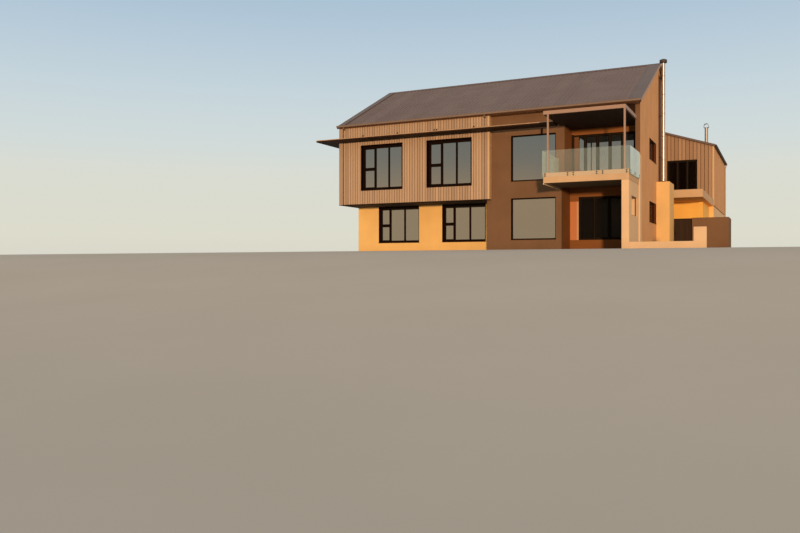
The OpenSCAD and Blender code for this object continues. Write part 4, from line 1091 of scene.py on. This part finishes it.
class RoofTrims(bpy.types.Operator):
    """Folds the ridge caps, verge flashings, valleys and eave boards"""

    bl_idname = "beach_house.roof_trims"
    bl_label = "Roof trims"

    def execute(self, context):
        rise, wing_rise, lift, drop = math.tan(ROOF_PITCH), math.tan(WING_PITCH), TRIM_LIFT, -0.115
        ridge, hem = Solids(), Solids()
        ridge_caps(ridge, ridge_outline(0.2, rise), ROOF_LEFT - TRIM_LAP, ROOF_RIGHT, TRIM_LAP,
                   lambda a, b, e: (e, RIDGE_Y + a, RIDGE_Z + b))
        wide = context.scene.beach_house_sizes.verge_width
        left = (ROOF_LEFT - TRIM_LAP, ROOF_LEFT + wide, 0.024)
        right = (ROOF_RIGHT + TRIM_LAP, ROOF_RIGHT - wide - 0.2, -0.024)
        front, rear = (EAVE_Y - 0.05, RIDGE_Y - TRIM_LAP), (RIDGE_Y + TRIM_LAP, REAR_EAVE + 0.05)
        step = (RIDGE_Y + TRIM_LAP, STEP_Y + 0.09)
        for (outer, inner, skin), side, ends in ((left, "front", front), (right, "front", front),
                                                 (left, "rear", rear), (right, "rear", step)):
            across, slope = outer - inner, main_slope(side)

            def place(a, b, e, slope=slope):
                return slope(a, e, b)

            fold = [(inner, lift - 0.012), (inner, lift), (inner + across * 0.05, lift),
                    (inner + across * 0.08, lift + 0.02), (inner + across * 0.12, lift + 0.02),
                    (inner + across * 0.15, lift), (outer, lift), (outer, drop),
                    (outer + skin * 0.2, drop), (outer + skin * 0.2, lift - 0.012)]
            ridge.sweep(fold, ends, place, 0.7)
            if skin < 0:
                edge = outer + 0.004
                hem.sweep([(outer, drop), (edge, drop), (edge, lift), (outer, lift)], ends, place, 0.7)
        ridge.make("main_ridge_and_verges", "flashing", "roof_sheet", replaces=("roof_flashings",))
        hem.make("verge_hems", "capping", "roof_sheet")

        wing = Solids()
        top_y = RIDGE_Y + (RIDGE_Z - WING_RIDGE_Z) / rise
        ridge_caps(wing, ridge_outline(0.18, wing_rise), top_y, WING_REAR, 0.12,
                   lambda a, b, e: (WING_RIDGE_X + a, e, WING_RIDGE_Z + b))
        left = (WING_RIDGE_X - 0.02, WING_ROOF_LEFT - 0.05)
        right = (WING_RIDGE_X + 0.02, WING_ROOF_RIGHT + 0.05)
        verges = (("left", WING_REAR + 0.12, -1, left), ("right", WING_REAR + 0.12, -1, right),
                  ("right", WING_OVERHANG - 0.02, 1, (STEP_EAVE, right[1])))
        for side, edge, way, ends in verges:
            slope = wing_slope(side)
            fold = [(edge, lift), (edge + way * 0.2, lift), (edge + way * 0.2, lift - 0.01),
                    (edge + way * 0.004, lift - 0.01), (edge + way * 0.004, -0.075), (edge, -0.075)]
            wing.sweep(fold, ends, lambda a, b, e, slope=slope: slope(a, e, b), 0.6)
        wing.make("wing_ridge_and_verges", "flashing", "roof_sheet")

        valley = Solids()
        for eave_x in (WING_ROOF_LEFT, STEP_EAVE):
            eave_y = RIDGE_Y + (RIDGE_Z - wing_z(eave_x)) / rise
            top, foot = Vector((WING_RIDGE_X, top_y, WING_RIDGE_Z)), Vector((eave_x, eave_y, wing_z(eave_x)))
            along = (foot - top).normalized()
            across = Vector((along.y, -along.x, 0)) * 0.14
            points = []
            for p in (top - across, top + across, foot - across, foot + across):
                base = max(roof_z(p.y), wing_z(p.x)) + lift
                points += [(p.x, p.y, base), (p.x, p.y, base + TRIM_THICK)]
            valley.add(points, [(0, 1, 3, 2), (4, 6, 7, 5), (0, 2, 6, 4),
                                (1, 5, 7, 3), (0, 4, 5, 1), (2, 3, 7, 6)], 0.3)
        valley.make("valley_flashings", "flashing", "roof_sheet")

        eaves, soffits = Solids(), Solids()
        under = roof_z(EAVE_Y) - ROOF_THICK
        face, base = (under - 0.01, under + 0.1), (under - 0.012, under - 0.001)
        # The eave boards' dark reddish paint is painted shade for the dark line under the gutters
        eaves.bar((ROOF_LEFT, ROOF_RIGHT), (EAVE_Y - 0.022, EAVE_Y - 0.001), face)
        eaves.bar((ROOF_LEFT, REAR_EAVE_LEFT), (REAR_EAVE + 0.001, REAR_EAVE + 0.022), face)
        eaves.make("eave_boards", "eave_board", "roof_sheet", edge=0.003)
        # The soffits' light paint is painted light on an underside that the sun doesn't reach
        soffits.bar((ROOF_LEFT + 0.1, BOX_RIGHT), (EAVE_Y - 0.001, BOX_FRONT - 0.022), base)
        soffits.bar((BOX_RIGHT, ROOF_RIGHT - 0.1), (EAVE_Y - 0.001, -0.002), base)
        soffits.bar((ROOF_LEFT + 0.1, WING_LEFT - 0.03), (HOUSE_REAR + 0.002, REAR_EAVE + 0.001), base)
        soffits.make("eave_soffits", "eave_soffit", "roof_sheet", edge=0.003)
        return {"FINISHED"}


class Gutters(bpy.types.Operator):
    """Hangs the folded gutters with their beads, straps, stop ends and outlets"""

    bl_idname = "beach_house.gutters"
    bl_label = "Gutters"

    def execute(self, context):
        rim, wing_rim = EAVE_Z + 0.03, wing_z(WING_ROOF_RIGHT) - 0.02
        drop, wide, t = 0.1, 0.11, 0.003
        main, wing = Solids(), Solids()
        runs = [
            (main, (ROOF_LEFT, ROOF_RIGHT), EAVE_Y - 0.024, -1, rim),
            (main, (ROOF_LEFT, REAR_EAVE_LEFT), REAR_EAVE + 0.024, 1, rim),
            (wing, (WING_OVERHANG, WING_REAR + 0.1), WING_ROOF_RIGHT + 0.002, 1, wing_rim),
            (wing, (REAR_EAVE, WING_REAR + 0.1), WING_ROOF_LEFT - 0.002, -1, wing_rim),
        ]
        for work, (start, stop), back, way, top in runs:
            outside = [(0, top), (0, top - drop), (wide * 0.72, top - drop), (wide * 0.95, top - drop * 0.7)]
            profile = [*outside, (wide, top - drop * 0.12), (wide + 0.012, top - drop * 0.08),
                       (wide + 0.014, top), (wide - 0.002, top), (wide - 0.006, top - drop * 0.12),
                       (wide * 0.93, top - drop * 0.66), (wide * 0.7, top - drop + t), (t, top - drop + t),
                       (t, top)]
            strap = [(0, top - 0.002), (0, top + 0.002), (wide + 0.016, top + 0.002),
                     (wide + 0.018, top - 0.03), (wide + 0.016, top - 0.03), (wide + 0.013, top - 0.002)]

            def place(a, b, e, back=back, way=way, along_x=work is main):
                return (e, back + way * a, b) if along_x else (back + way * a, e, b)

            work.sweep(profile, (start, stop), place, 0.4)
            for end in (start, stop - t):
                work.sweep([*outside, (wide, top)], (end, end + t), place, 0.6)
            count = max(2, round((stop - start) / 0.9))
            for k in range(count):
                u = start + (stop - start) * (k + 0.5) / count
                work.sweep(strap, (u - 0.012, u + 0.012), place, 0.2)
        main.make("folded_gutters", "gutter", "roof_sheet", replaces=("gutters",))
        wing.make("wing_gutters", "dark_gutter", "roof_sheet")

        outlets, r = Solids(), 0.038
        y = EAVE_Y - 0.07
        for x in OUTLETS:
            outlets.turned([(0.03, -0.2), (0.034, -0.196), (0.034, -0.16), (0.03, -0.155), (0.03, -0.1)],
                           (x, y, rim), 20)
            outlets.pipe([(x, y, rim - 0.18), (x, y + 0.02, rim - 0.215), (x, y + 0.08, rim - 0.225),
                          (x, -0.3, rim - 0.225)], 0.026)
        y, wall = HOUSE_REAR + 0.5, HOUSE_REAR + 0.06
        for x in (ROOF_LEFT + 0.35, WING_LEFT - 0.55):
            outlets.pipe([(x, y, rim - 0.09), (x, y, rim - 0.2), (x, wall + 0.03, rim - 0.45),
                          (x, wall, rim - 0.55), (x, wall, GROUND + 0.1)], r, 16)
            for z in CLIP_HEIGHTS:
                outlets.bar((x - 0.05, x + 0.05), (HOUSE_REAR, HOUSE_REAR + 0.104), (z, z + 0.03))
        outlets.make("gutter_outlets", "fascia", "roof_sheet", smooth=True)

        downpipe = Solids()
        x, y, wall = WING_ROOF_RIGHT + 0.055, WING_REAR - 0.3, WING_RIGHT + 0.075
        downpipe.pipe([(x, y, wing_rim - 0.09), (x, y, wing_rim - 0.16), (wall + 0.025, y, wing_rim - 0.26),
                       (wall, y, wing_rim - 0.35), (wall, y, GROUND + 0.1)], r, 16)
        for z in CLIP_HEIGHTS:
            downpipe.bar((WING_RIGHT, WING_RIGHT + 0.118), (y - 0.05, y + 0.05), (z, z + 0.03))
        downpipe.make("wing_downpipe", "capping", "roof_sheet", smooth=True)
        return {"FINISHED"}


# Windows


def three_lights(w, h, share):
    """Clear openings of a front window: a narrow light in two halves, and two wide ones."""
    head, sill, sash, bar = 0.15, 0.11, 0.13, 0.07
    narrow = share * w
    wide = (w - narrow - sash - 3 * bar) / 2
    clear = h - head - sill
    low = 0.46 * clear
    second = sash + narrow + bar
    third = second + wide + bar
    return [(sash, sill, narrow, low), (sash, sill + low + bar, narrow, clear - low - bar),
            (second, sill, wide, clear), (third, sill, wide, clear)]


def equal_lights(w, h, count, bar=0.07):
    """Clear openings of a window with lights of one width."""
    clear = (w - (count + 1) * bar) / count
    return [(bar + i * (clear + bar), bar, clear, h - 2 * bar) for i in range(count)]


def openings():
    """Every glazed opening: kind, side, wall face, start, sill, width, height, lights, opening sashes."""
    rows = []
    for x in WINDOW_CENTRES:
        w, h = BOX_WINDOW
        left = x - w / 2
        rows.append(("box", "front", BOX_FRONT, left, BOX_SILL, w, h, three_lights(w, h, 0.26), (0, 1)))
        rows.append(("rear", "rear", HOUSE_REAR, left, BOX_SILL, w, h, equal_lights(w, h, 3), (1,)))
        rows.append(("rear", "rear", HOUSE_REAR, left, 0.0, w, 2.1, equal_lights(w, 2.1, 3), (1,)))
        w, h = LOWER_WINDOW
        rows.append(("lower", "front", UNDERCUT, x - w / 2, 0.0, w, h, three_lights(w, h, 0.21), (0, 1)))
    for w, h, sill in PICTURE_SIZES:
        lights = equal_lights(w, h, 1, 0.05)
        rows.append(("picture", "front", 0.0, PICTURE_CENTRE - w / 2, sill, w, h, lights, ()))
    w, h = SIDE_WINDOW
    for sill in SIDE_SILLS:
        for side, face, left in (("right", 0.0, SIDE_NEAR), ("left", HOUSE_LEFT, SIDE_NEAR),
                                 ("rear", WING_REAR, WING_RIDGE_X - w / 2)):
            rows.append(("side", side, face, left, sill, w, h, equal_lights(w, h, 2), (0,)))
    for door, face, sill in ((BALCONY_DOOR, RECESS_DEPTH, STOREY), (PORCH_DOOR, PORCH_DEPTH, 0.0)):
        left, w, h, count = door
        rows.append(("door", "front", face, left, sill, w, h, equal_lights(w, h, count), range(count)))
    left, right, sill, head = TERRACE_DOOR
    w, h = right - left, head - sill
    rows.append(("door", "front", WING_FRONT, left, sill, w, h, equal_lights(w, h, 3), (0, 1)))
    return rows


def ring(work, place, u, w, wide, n):
    """Square-cornered frame round an opening, of a width, between two distances out of the wall."""
    wall_bar(work, place, (u[0], u[0] + wide), n, w)
    wall_bar(work, place, (u[1] - wide, u[1]), n, w)
    wall_bar(work, place, (u[0] + wide, u[1] - wide), n, (w[0], w[0] + wide))
    wall_bar(work, place, (u[0] + wide, u[1] - wide), n, (w[1] - wide, w[1]))


# How far each kind of window's surround stands out of the wall, and how wide it is
PROUD = {"box": 0.045, "lower": 0.012, "rear": 0.02, "picture": 0.004, "side": 0.006, "door": 0.004}
SURROUND = {"box": 0.02, "lower": 0.01, "rear": 0.01, "picture": 0.004, "side": 0.01, "door": 0.01}
# Panes: the piece, its finish and the solid that it stands for
PANES = {
    "window_panes": ("window_pane", "window_glass"),
    "gable_panes": ("gable_pane", "window_glass"),
    "balcony_door_panes": ("window_pane", "door_glass"),
    "shaded_door_panes": ("shaded_pane", "door_glass"),
}


class Windows(bpy.types.Operator):
    """Fits the windows and doors with surrounds, sashes, beads, seals, sills and handles"""

    bl_idname = "beach_house.windows"
    bl_label = "Windows and doors"

    def execute(self, context):
        for node in ("front_windows", "picture_windows", "side_windows", "rear_windows"):
            dress(node, "sash_metal", 0.003)
        for node in ("recess_doors", "terrace_door"):
            dress(node, "door_frame", 0.003)
        panes = {name: Solids() for name in PANES}
        surrounds, linings, sashes, leaves, seals, sills, handles = (Solids() for _ in range(7))
        pane = -REVEAL - FRAME_DEPTH / 2 + GLASS_HALF
        for kind, side, face, left, sill, w, h, lights, opening in openings():
            place, door = on_wall(side, face), kind == "door"
            right, head = left + w, sill + h
            proud, skin, out = PROUD[kind], SURROUND[kind], 0.03
            bead, leaf, seal = 0.008 if kind == "picture" else 0.018, 0.045, 0.006
            on_gable = kind == "side" and side == "right"
            frame_work = linings if on_gable else surrounds
            ring(frame_work, place, (left, right), (sill, head), skin, (-REVEAL, proud))
            if door:
                glazing = panes["balcony_door_panes" if w > 3.1 else "shaded_door_panes"]
            else:
                glazing = panes["gable_panes" if on_gable else "window_panes"]
            if kind in ("box", "rear"):
                ring(surrounds, place, (left - out, right + out), (sill - out, head + out), out,
                     (0.0, proud - 0.004))
            if kind in ("side", "lower", "picture"):
                wall_bar(sills, place, (left - 0.02, right + 0.02), (-REVEAL, out),
                         (sill - 0.012, sill + 0.014))
            for i, (u, v, cw, ch) in enumerate(lights):
                if side in ("rear", "left"):
                    u = w - u - cw
                a, b = left + u, left + u + cw
                c, d = sill + v, sill + v + ch
                wall_bar(glazing, place, (a, b), (pane - 2 * GLASS_HALF, pane), (c, d))
                if i in opening:
                    work, rim, front = sashes, leaf, -REVEAL + 0.014
                else:
                    work, rim, front = leaves if door else sashes, bead, -REVEAL - 0.006
                ring(work, place, (a, b), (c, d), rim, (pane, front))
                ring(seals, place, (a + rim, b - rim), (c + rim, d - rim), seal, (pane, pane + 0.004))
            if door:
                for u, v, cw, ch in lights[1:]:
                    x = left + u - 0.035
                    wall_bar(handles, place, (x - 0.012, x + 0.012), (-REVEAL, -REVEAL + 0.012),
                             (sill + 0.92, sill + 1.14))
                    wall_bar(handles, place, (x - 0.008, x + 0.008), (-REVEAL + 0.04, -REVEAL + 0.054),
                             (sill + 0.95, sill + 1.1))
                    for z in (sill + 0.96, sill + 1.075):
                        wall_bar(handles, place, (x - 0.006, x + 0.006), (-REVEAL + 0.01, -REVEAL + 0.042),
                                 (z, z + 0.014))
                wall_bar(sills, place, (left, right), (-REVEAL - 0.06, 0.012), (sill - 0.004, sill + 0.018))
        for name, (finish, node) in PANES.items():
            panes[name].make(name, finish, "clear_glass", replaces=(node,))
        surrounds.make("window_surrounds", "sash_metal", "dark_metal", edge=0.003)
        linings.make("gable_window_linings", "window_lining", "dark_metal", edge=0.003)
        sashes.make("sashes_and_beads", "sash_metal", "dark_metal", edge=0.003)
        leaves.make("door_beads", "door_frame", "dark_metal", edge=0.003)
        seals.make("glazing_seals", "seal", "dark_metal")
        sills.make("metal_sills", "dark_metal", "dark_metal", edge=0.002)
        handles.make("door_handles", "dark_metal", "dark_metal", edge=0.002)
        return {"FINISHED"}


class Balcony(bpy.types.Operator):
    """Finishes the balcony: ceiling boards, portal plates, the slot's frame, a painted shadow line at the
    slab's joint, a pale strip as a painted highlight on the slab's edge, and paving
    """

    bl_idname = "beach_house.balcony"
    bl_label = "Balcony"

    def execute(self, context):
        sizes = context.scene.beach_house_sizes
        dress("balcony_ceiling", "dark_ceiling")
        dress("portal_frame", "portal", 0.006)
        ceiling = Solids()
        left, right = BALCONY_LEFT + 0.004, -0.235
        rng, count = random.Random("ceiling"), 24
        step = (right - left) / count
        for i in range(count):
            a, b = left + i * step + 0.003, left + (i + 1) * step - 0.003
            far = RECESS_DEPTH - 0.002 if a > RECESS_LEFT and b < RECESS_RIGHT - 0.003 else -0.002
            ceiling.bar((a, b), (BALCONY_FRONT + 0.084, far), (CEILING - 0.014, CEILING), rng.random())
        ceiling.make("balcony_ceiling_boards", "dark_ceiling", "dark_metal", edge=0.002)

        plates, y = Solids(), BALCONY_FRONT + 0.01
        for x in (BALCONY_LEFT + 0.17, -0.23):
            plates.bar((x - 0.035, x + 0.115), (y - 0.005, y + 0.115), (STOREY, STOREY + 0.014))
            for dx in (-0.018, 0.098):
                for dy in (0.01, 0.098):
                    plates.turned([(0.011, 0), (0.011, 0.012), (0.008, 0.018)],
                                  (x + dx, y + dy, STOREY + 0.014), 6)
            plates.bar((x - 0.012, x + 0.092), (y - 0.008, y + 0.092), (CEILING - 0.014, CEILING))
        plates.make("portal_plates", "portal", "portal_paint", edge=0.002)

        slot = Solids()
        ring(slot, on_wall("right", 0.0), (-2.34, -0.86), (0.94, 1.81), 0.03, (-0.1, -0.04))
        # A dark strip along the joint of the slab and the balcony wall: painted shade for a shadow gap
        wall = span("balcony_wall", 0)[0]
        slot.bar((wall - 0.003, 0.003), (BALCONY_FRONT - 0.003, -0.451),
                 (SLAB_BOTTOM - 0.004, SLAB_BOTTOM + 0.006))
        slot.make("slot_frame_and_joint", "slot_frame", "dark_metal", edge=0.001)
        # A pale strip along the slab's left bottom edge: a painted highlight for that edge lit by the low sun
        single("balcony_drip_trim", "pale_paint", "concrete", (BALCONY_LEFT - 0.004, BALCONY_LEFT + 0.03),
               (BALCONY_FRONT, -0.001), (SLAB_BOTTOM - 0.06, SLAB_BOTTOM - 0.001))

        tiles, rng = Solids(), random.Random("tiles")
        pitch, gap = sizes.tile_pitch, 0.005

        def pave(x0, x1, y0, y1, z):
            """Whole tiles over a floor, as near the pitch as they fit."""
            nx, ny = max(1, round((x1 - x0) / pitch)), max(1, round((y1 - y0) / pitch))
            sx, sy = (x1 - x0) / nx, (y1 - y0) / ny
            for i in range(nx):
                for j in range(ny):
                    tiles.bar((x0 + i * sx + gap, x0 + (i + 1) * sx - gap),
                              (y0 + j * sy + gap, y0 + (j + 1) * sy - gap), (z, z + 0.01), rng.random())

        pave(BALCONY_LEFT + 0.02, -0.07, BALCONY_FRONT + 0.16, -0.001, STOREY)
        pave(RECESS_LEFT + 0.005, RECESS_RIGHT - 0.008, 0.001, RECESS_DEPTH - 0.002, STOREY)
        pave(STEP_X + 0.04, WING_RIGHT - 0.02, TERRACE_FRONT + 0.02, WING_FRONT - 0.04, STOREY)
        tiles.make("paving_tiles", "tiles", "concrete", edge=0.002)
        return {"FINISHED"}


class Balustrade(bpy.types.Operator):
    """Finishes the glass balustrade with its polished edges and its round clamps"""

    bl_idname = "beach_house.balustrade"
    bl_label = "Glass balustrade"

    def execute(self, context):
        dress("balustrade_glass", "balustrade_pane", 0.002)
        clamps = Solids()
        left, start = BALCONY_LEFT - BALUSTRADE_OFF, BALCONY_FRONT + 0.02
        width = (BALUSTRADE_OFF - left) / 3
        for z in (STOREY - 0.05, STOREY - 0.14):
            for i in range(3):
                for inset in (0.13, width - 0.13):
                    self.clamp(clamps, (left + i * width + inset, BALCONY_FRONT, z), "y", -1)
            for x, way, end in ((BALCONY_LEFT, -1, -0.06), (0.0, 1, -0.46)):
                run = (end - start + 0.02) / 2
                for near in (start, start + run):
                    for y in (near + 0.13, near + run - 0.15):
                        self.clamp(clamps, (x, y, z), "x", way)
        clamps.make("balustrade_clamps", "dark_metal", "dark_metal", smooth=True, replaces=("glass_clamps",))
        return {"FINISHED"}

    @staticmethod
    def clamp(work, foot, axis, way):
        """Spacer, washer and domed cap of one clamp."""
        off, front = BALUSTRADE_OFF, BALUSTRADE_OFF + BALUSTRADE_THICK
        spacer = [(0.03, 0.0), (0.03, 0.005), (0.021, 0.007), (0.021, off - 0.003), (0.024, off)]
        cap = [(0.024, front), (0.025, front + 0.008), (0.021, front + 0.012), (0.008, front + 0.0135)]
        for profile in (spacer, cap):
            work.turned([(r, way * h) for r, h in profile], foot, 20, axis)


class Canopy(bpy.types.Operator):
    """Finishes the thin canopy with its capping, joints and wall brackets"""

    bl_idname = "beach_house.canopy"
    bl_label = "Canopy"

    def execute(self, context):
        dress("canopy", "dark_metal", 0.004)
        high = CANOPY_Z[1]
        capping, t = Solids(), 0.012
        profile = [(0.07, high), (0.07, high + 0.006), (-t, high + 0.006), (-t, high - 0.032),
                   (0, high - 0.032), (0, high)]
        for a, b in zip(CANOPY_JOINTS, CANOPY_JOINTS[1:]):
            capping.sweep(profile, (a + 0.003, b - 0.003), lambda u, v, e: (e, CANOPY_FRONT + u, v))
        capping.sweep(profile, (CANOPY_FRONT + 0.075, CANOPY_BACK), lambda u, v, e: (CANOPY_LEFT + u, e, v))
        capping.make("canopy_capping", "capping", "dark_metal", edge=0.001)

        brackets = Solids()
        for x, face in CANOPY_BRACKETS:
            brackets.bar((x - 0.03, x + 0.03), (face - 0.012, face), (high + 0.15, high + 0.26))
            brackets.bar((x - 0.006, x + 0.006), (face - 0.06, face - 0.01), (high + 0.17, high + 0.24))
            brackets.pipe([(x, face - 0.045, high + 0.2), (x, face - 0.5, high)], 0.008, 8)
        brackets.make("canopy_brackets", "dark_metal", "dark_metal", edge=0.001)
        return {"FINISHED"}


def axis_of(node):
    """Middle, foot and top of an upright round solid, and its radius."""
    low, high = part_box(node)
    middle = (low + high) / 2 - CORNER
    return middle.x, middle.y, low.z - CORNER.z, high.z - CORNER.z, (high.x - low.x) / 2


class Flues(bpy.types.Operator):
    """Turns the bright flues with their joints, brackets, foot plates and caps"""

    bl_idname = "beach_house.flues"
    bl_label = "Flues"

    def execute(self, context):
        x, y, foot, top, r = axis_of("flue")
        base, skin, place = CHIMNEY_TOP, 0.004, (x, y, 0)
        pipe = Solids()
        profile = [(r, base + 0.002)]
        for z in FLUE_JOINTS:
            profile += [(r, z - 0.03), (r + 0.006, z - 0.024), (r + 0.006, z - 0.006), (r + 0.002, z),
                        (r + 0.006, z + 0.006), (r + 0.006, z + 0.024), (r, z + 0.03)]
        profile += [(r, top + 0.02), (r - skin, top + 0.02), (r - skin, base + 0.002)]
        pipe.turned(profile, place, 64, closed=True)
        pipe.make("flue_pipe", "steel", "flue_steel", smooth=True, replaces=("flue",))

        bands, brackets = Solids(), Solids()
        for z in FLUE_BANDS:
            bands.turned([(r + 0.001, z - 0.02), (r + 0.005, z - 0.02), (r + 0.005, z + 0.02),
                          (r + 0.001, z + 0.02)], place, 48, closed=True)
            for dy in (-0.06, 0.06):
                brackets.pipe([(0.004, y + dy * 1.6, z), (x - r * 0.75, y + dy, z)], 0.007, 8)
            brackets.bar((0.0, 0.006), (y - 0.13, y + 0.13), (z - 0.025, z + 0.025))
        bands.make("flue_bands", "steel", "flue_steel", smooth=True)
        brackets.make("flue_brackets", "dark_metal", "dark_metal", smooth=True)

        plate = Solids()
        plate.turned([(0.17, base), (0.17, base + 0.012), (r + 0.03, base + 0.02), (r + 0.022, base + 0.12),
                      (r + 0.002, base + 0.135), (r + 0.002, base)], place, 48, closed=True)
        plate.make("flue_foot_plate", "dark_metal", "dark_metal", smooth=True)

        caps, brim = Solids(), 0.2
        caps.turned([(r + 0.004, top), (r + 0.05, top + 0.005), (0.8 * brim, top + 0.012),
                     (0.9 * brim, top + 0.02), (brim, top + 0.045), (brim, top + 0.06),
                     (0.97 * brim, top + 0.065), (0.97 * brim, top + 0.145), (brim, top + 0.15),
                     (brim, top + 0.165),
                     (0.86 * brim, top + 0.19), (0.45 * brim, top + 0.22), (0.14 * brim, top + 0.238),
                     (0.05 * brim, top + 0.24)], place, 48)
        x, y, foot, top, r = axis_of("wing_flue")
        hood, leg, t, half, place = 0.16, 0.13, 0.012, 0.13, (x, y, 0)
        caps.turned([(r - skin, top), (r + 0.03, top), (r + 0.03, top + t), (r - skin, top + t)], place, 48,
                    closed=True)
        inner, low, turns = hood - t, 0.004, [math.pi * k / 20 for k in range(1, 20)]
        arch = [(-hood, low), (-hood, leg)]
        arch += [(-hood * math.cos(a), leg + hood * math.sin(a)) for a in turns]
        arch += [(hood, leg), (hood, low), (inner, low), (inner, leg)]
        arch += [(inner * math.cos(a), leg + inner * math.sin(a)) for a in turns]
        arch += [(-inner, leg), (-inner, low)]
        caps.sweep(arch, (y - half, y + half), lambda a, b, e: (x + a, e, top + b))
        for way in (-1, 1):
            caps.bar((x + way * (r - skin), x + way * (hood - 0.002)), (y - half, y + half), (top, top + t))
        caps.make("flue_caps", "cap_metal", "dark_metal", smooth=True, replaces=("flue_cap",))

        second, boot, lean = Solids(), Solids(), wing_z(x)
        second.turned([(r, foot), (r, foot + 0.75), (r + 0.005, foot + 0.756), (r + 0.005, foot + 0.8),
                       (r, foot + 0.806), (r, top), (r - skin, top), (r - skin, foot)], place, 48,
                      closed=True)
        second.make("wing_flue_pipe", "dull_steel", "flue_steel", smooth=True, replaces=("wing_flue",))
        boot.turned([(r + 0.14, lean - 0.02), (r + 0.11, lean + 0.06), (r + 0.03, lean + 0.16),
                     (r + 0.005, lean + 0.2), (r + 0.002, lean + 0.2), (r + 0.002, lean - 0.02)], place, 32,
                    closed=True)
        boot.make("wing_flue_boot", "flashing", "roof_sheet", smooth=True)
        return {"FINISHED"}


class YardGate(bpy.types.Operator):
    """Boards the yard gate and fits its rails and handle"""

    bl_idname = "beach_house.yard_gate"
    bl_label = "Yard gate"

    def execute(self, context):
        dress("yard_gate", "gate_boards", 0.003)
        low, high = (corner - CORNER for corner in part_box("yard_gate"))
        left, right, count = low.x, low.x + GATE_WIDTH, 9
        work, rng = Solids(), random.Random("gate")
        step = (right - left) / count
        for i in range(count):
            work.bar((left + i * step + 0.004, left + (i + 1) * step - 0.004), (GATE_FACE - 0.016, GATE_FACE),
                     (low.z + 0.002, high.z - 0.002), rng.random())
        work.make("gate_boards", "gate_boards", "gate_timber", body="gate", edge=0.003)
        rails = Solids()
        for z in (low.z + 0.2, high.z - 0.32):
            rails.bar((left + 0.02, right - 0.28), (GATE_BACK, GATE_BACK + 0.022), (z, z + 0.11), 0.3)
        rails.make("gate_rails", "gate_boards", "gate_timber", body="gate", edge=0.003)
        latch, z, x, out = Solids(), GROUND + 1.06, left + 0.065, GATE_FACE - 0.068
        latch.bar((x - 0.025, x + 0.025), (GATE_FACE - 0.022, GATE_FACE - 0.015), (z - 0.1, z + 0.08))
        latch.pipe([(x, GATE_FACE - 0.02, z), (x, GATE_FACE - 0.06, z), (x + 0.01, out, z),
                    (x + 0.115, out, z)], 0.009)
        latch.make("gate_handle", "dark_metal", "dark_metal", body="gate", smooth=True)
        return {"FINISHED"}


class Fixtures(bpy.types.Operator):
    """Adds the wall light and the stay under the canopy"""

    bl_idname = "beach_house.fixtures"
    bl_label = "Wall fixtures"

    def execute(self, context):
        work = Solids()
        x, face, z, half = TERRACE_ROOM_RIGHT - 0.12, TERRACE_ROOM_FRONT, 1.45, 0.1
        work.bar((x - 0.035, x + 0.035), (face - 0.012, face), (z - half, z + half))
        work.turned([(0.03, -half), (0.034, -half + 0.006), (0.034, half - 0.006), (0.03, half)],
                    (x, face - 0.055, z), 24)
        work.bar((x - 0.01, x + 0.01), (face - 0.05, face - 0.006), (z - 0.02, z + 0.02))
        work.make("wall_light", "dark_metal", "dark_metal", smooth=True)

        stay, low = Solids(), PICTURE_SIZES[1][1] + PICTURE_SIZES[1][2] + 0.002
        stay.bar((STAY_X - 0.035, STAY_X + 0.035), (-0.06, 0.0), (low, CANOPY_Z[0]))
        stay.bar((STAY_X - 0.042, STAY_X + 0.042), (-0.064, -0.02), (low, low + 0.03))
        stay.make("canopy_stay", "dark_metal", "dark_metal", edge=0.003)
        return {"FINISHED"}


PIECES = (Stage, Walls, BoxBoards, GableBoards, WingBoards, RoofSheets, RoofTrims, Gutters, Windows, Balcony,
          Balustrade, Canopy, Flues, YardGate, Fixtures)


class BeachHousePanel(bpy.types.Panel):
    """Sizes, colours and pieces of the beach house"""

    bl_idname = "VIEW3D_PT_beach_house"
    bl_label = "Beach house"
    bl_space_type = "VIEW_3D"
    bl_region_type = "UI"
    bl_category = "Beach house"

    def draw(self, context):
        layout = self.layout
        for group in (context.scene.beach_house_sizes, context.scene.beach_house_finishes):
            column = layout.column(align=True)
            for name in group.__annotations__:
                column.prop(group, name)
        for piece in PIECES:
            layout.operator(piece.bl_idname)


CLASSES = (BeachHouseFinishes, BeachHouseSizes, *PIECES, BeachHousePanel)


def register():
    """Adds the classes and the panel's settings."""
    for item in CLASSES:
        bpy.utils.register_class(item)
    bpy.types.Scene.beach_house_finishes = bpy.props.PointerProperty(type=BeachHouseFinishes)
    bpy.types.Scene.beach_house_sizes = bpy.props.PointerProperty(type=BeachHouseSizes)


def unregister():
    """Takes the settings and the classes away again."""
    del bpy.types.Scene.beach_house_sizes
    del bpy.types.Scene.beach_house_finishes
    for item in reversed(CLASSES):
        bpy.utils.unregister_class(item)


def main():
    """Builds the whole scene, piece by piece."""
    register()
    for piece in PIECES:
        group, name = piece.bl_idname.split(".")
        getattr(getattr(bpy.ops, group), name)()
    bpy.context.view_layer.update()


if __name__ == "__main__":
    main()
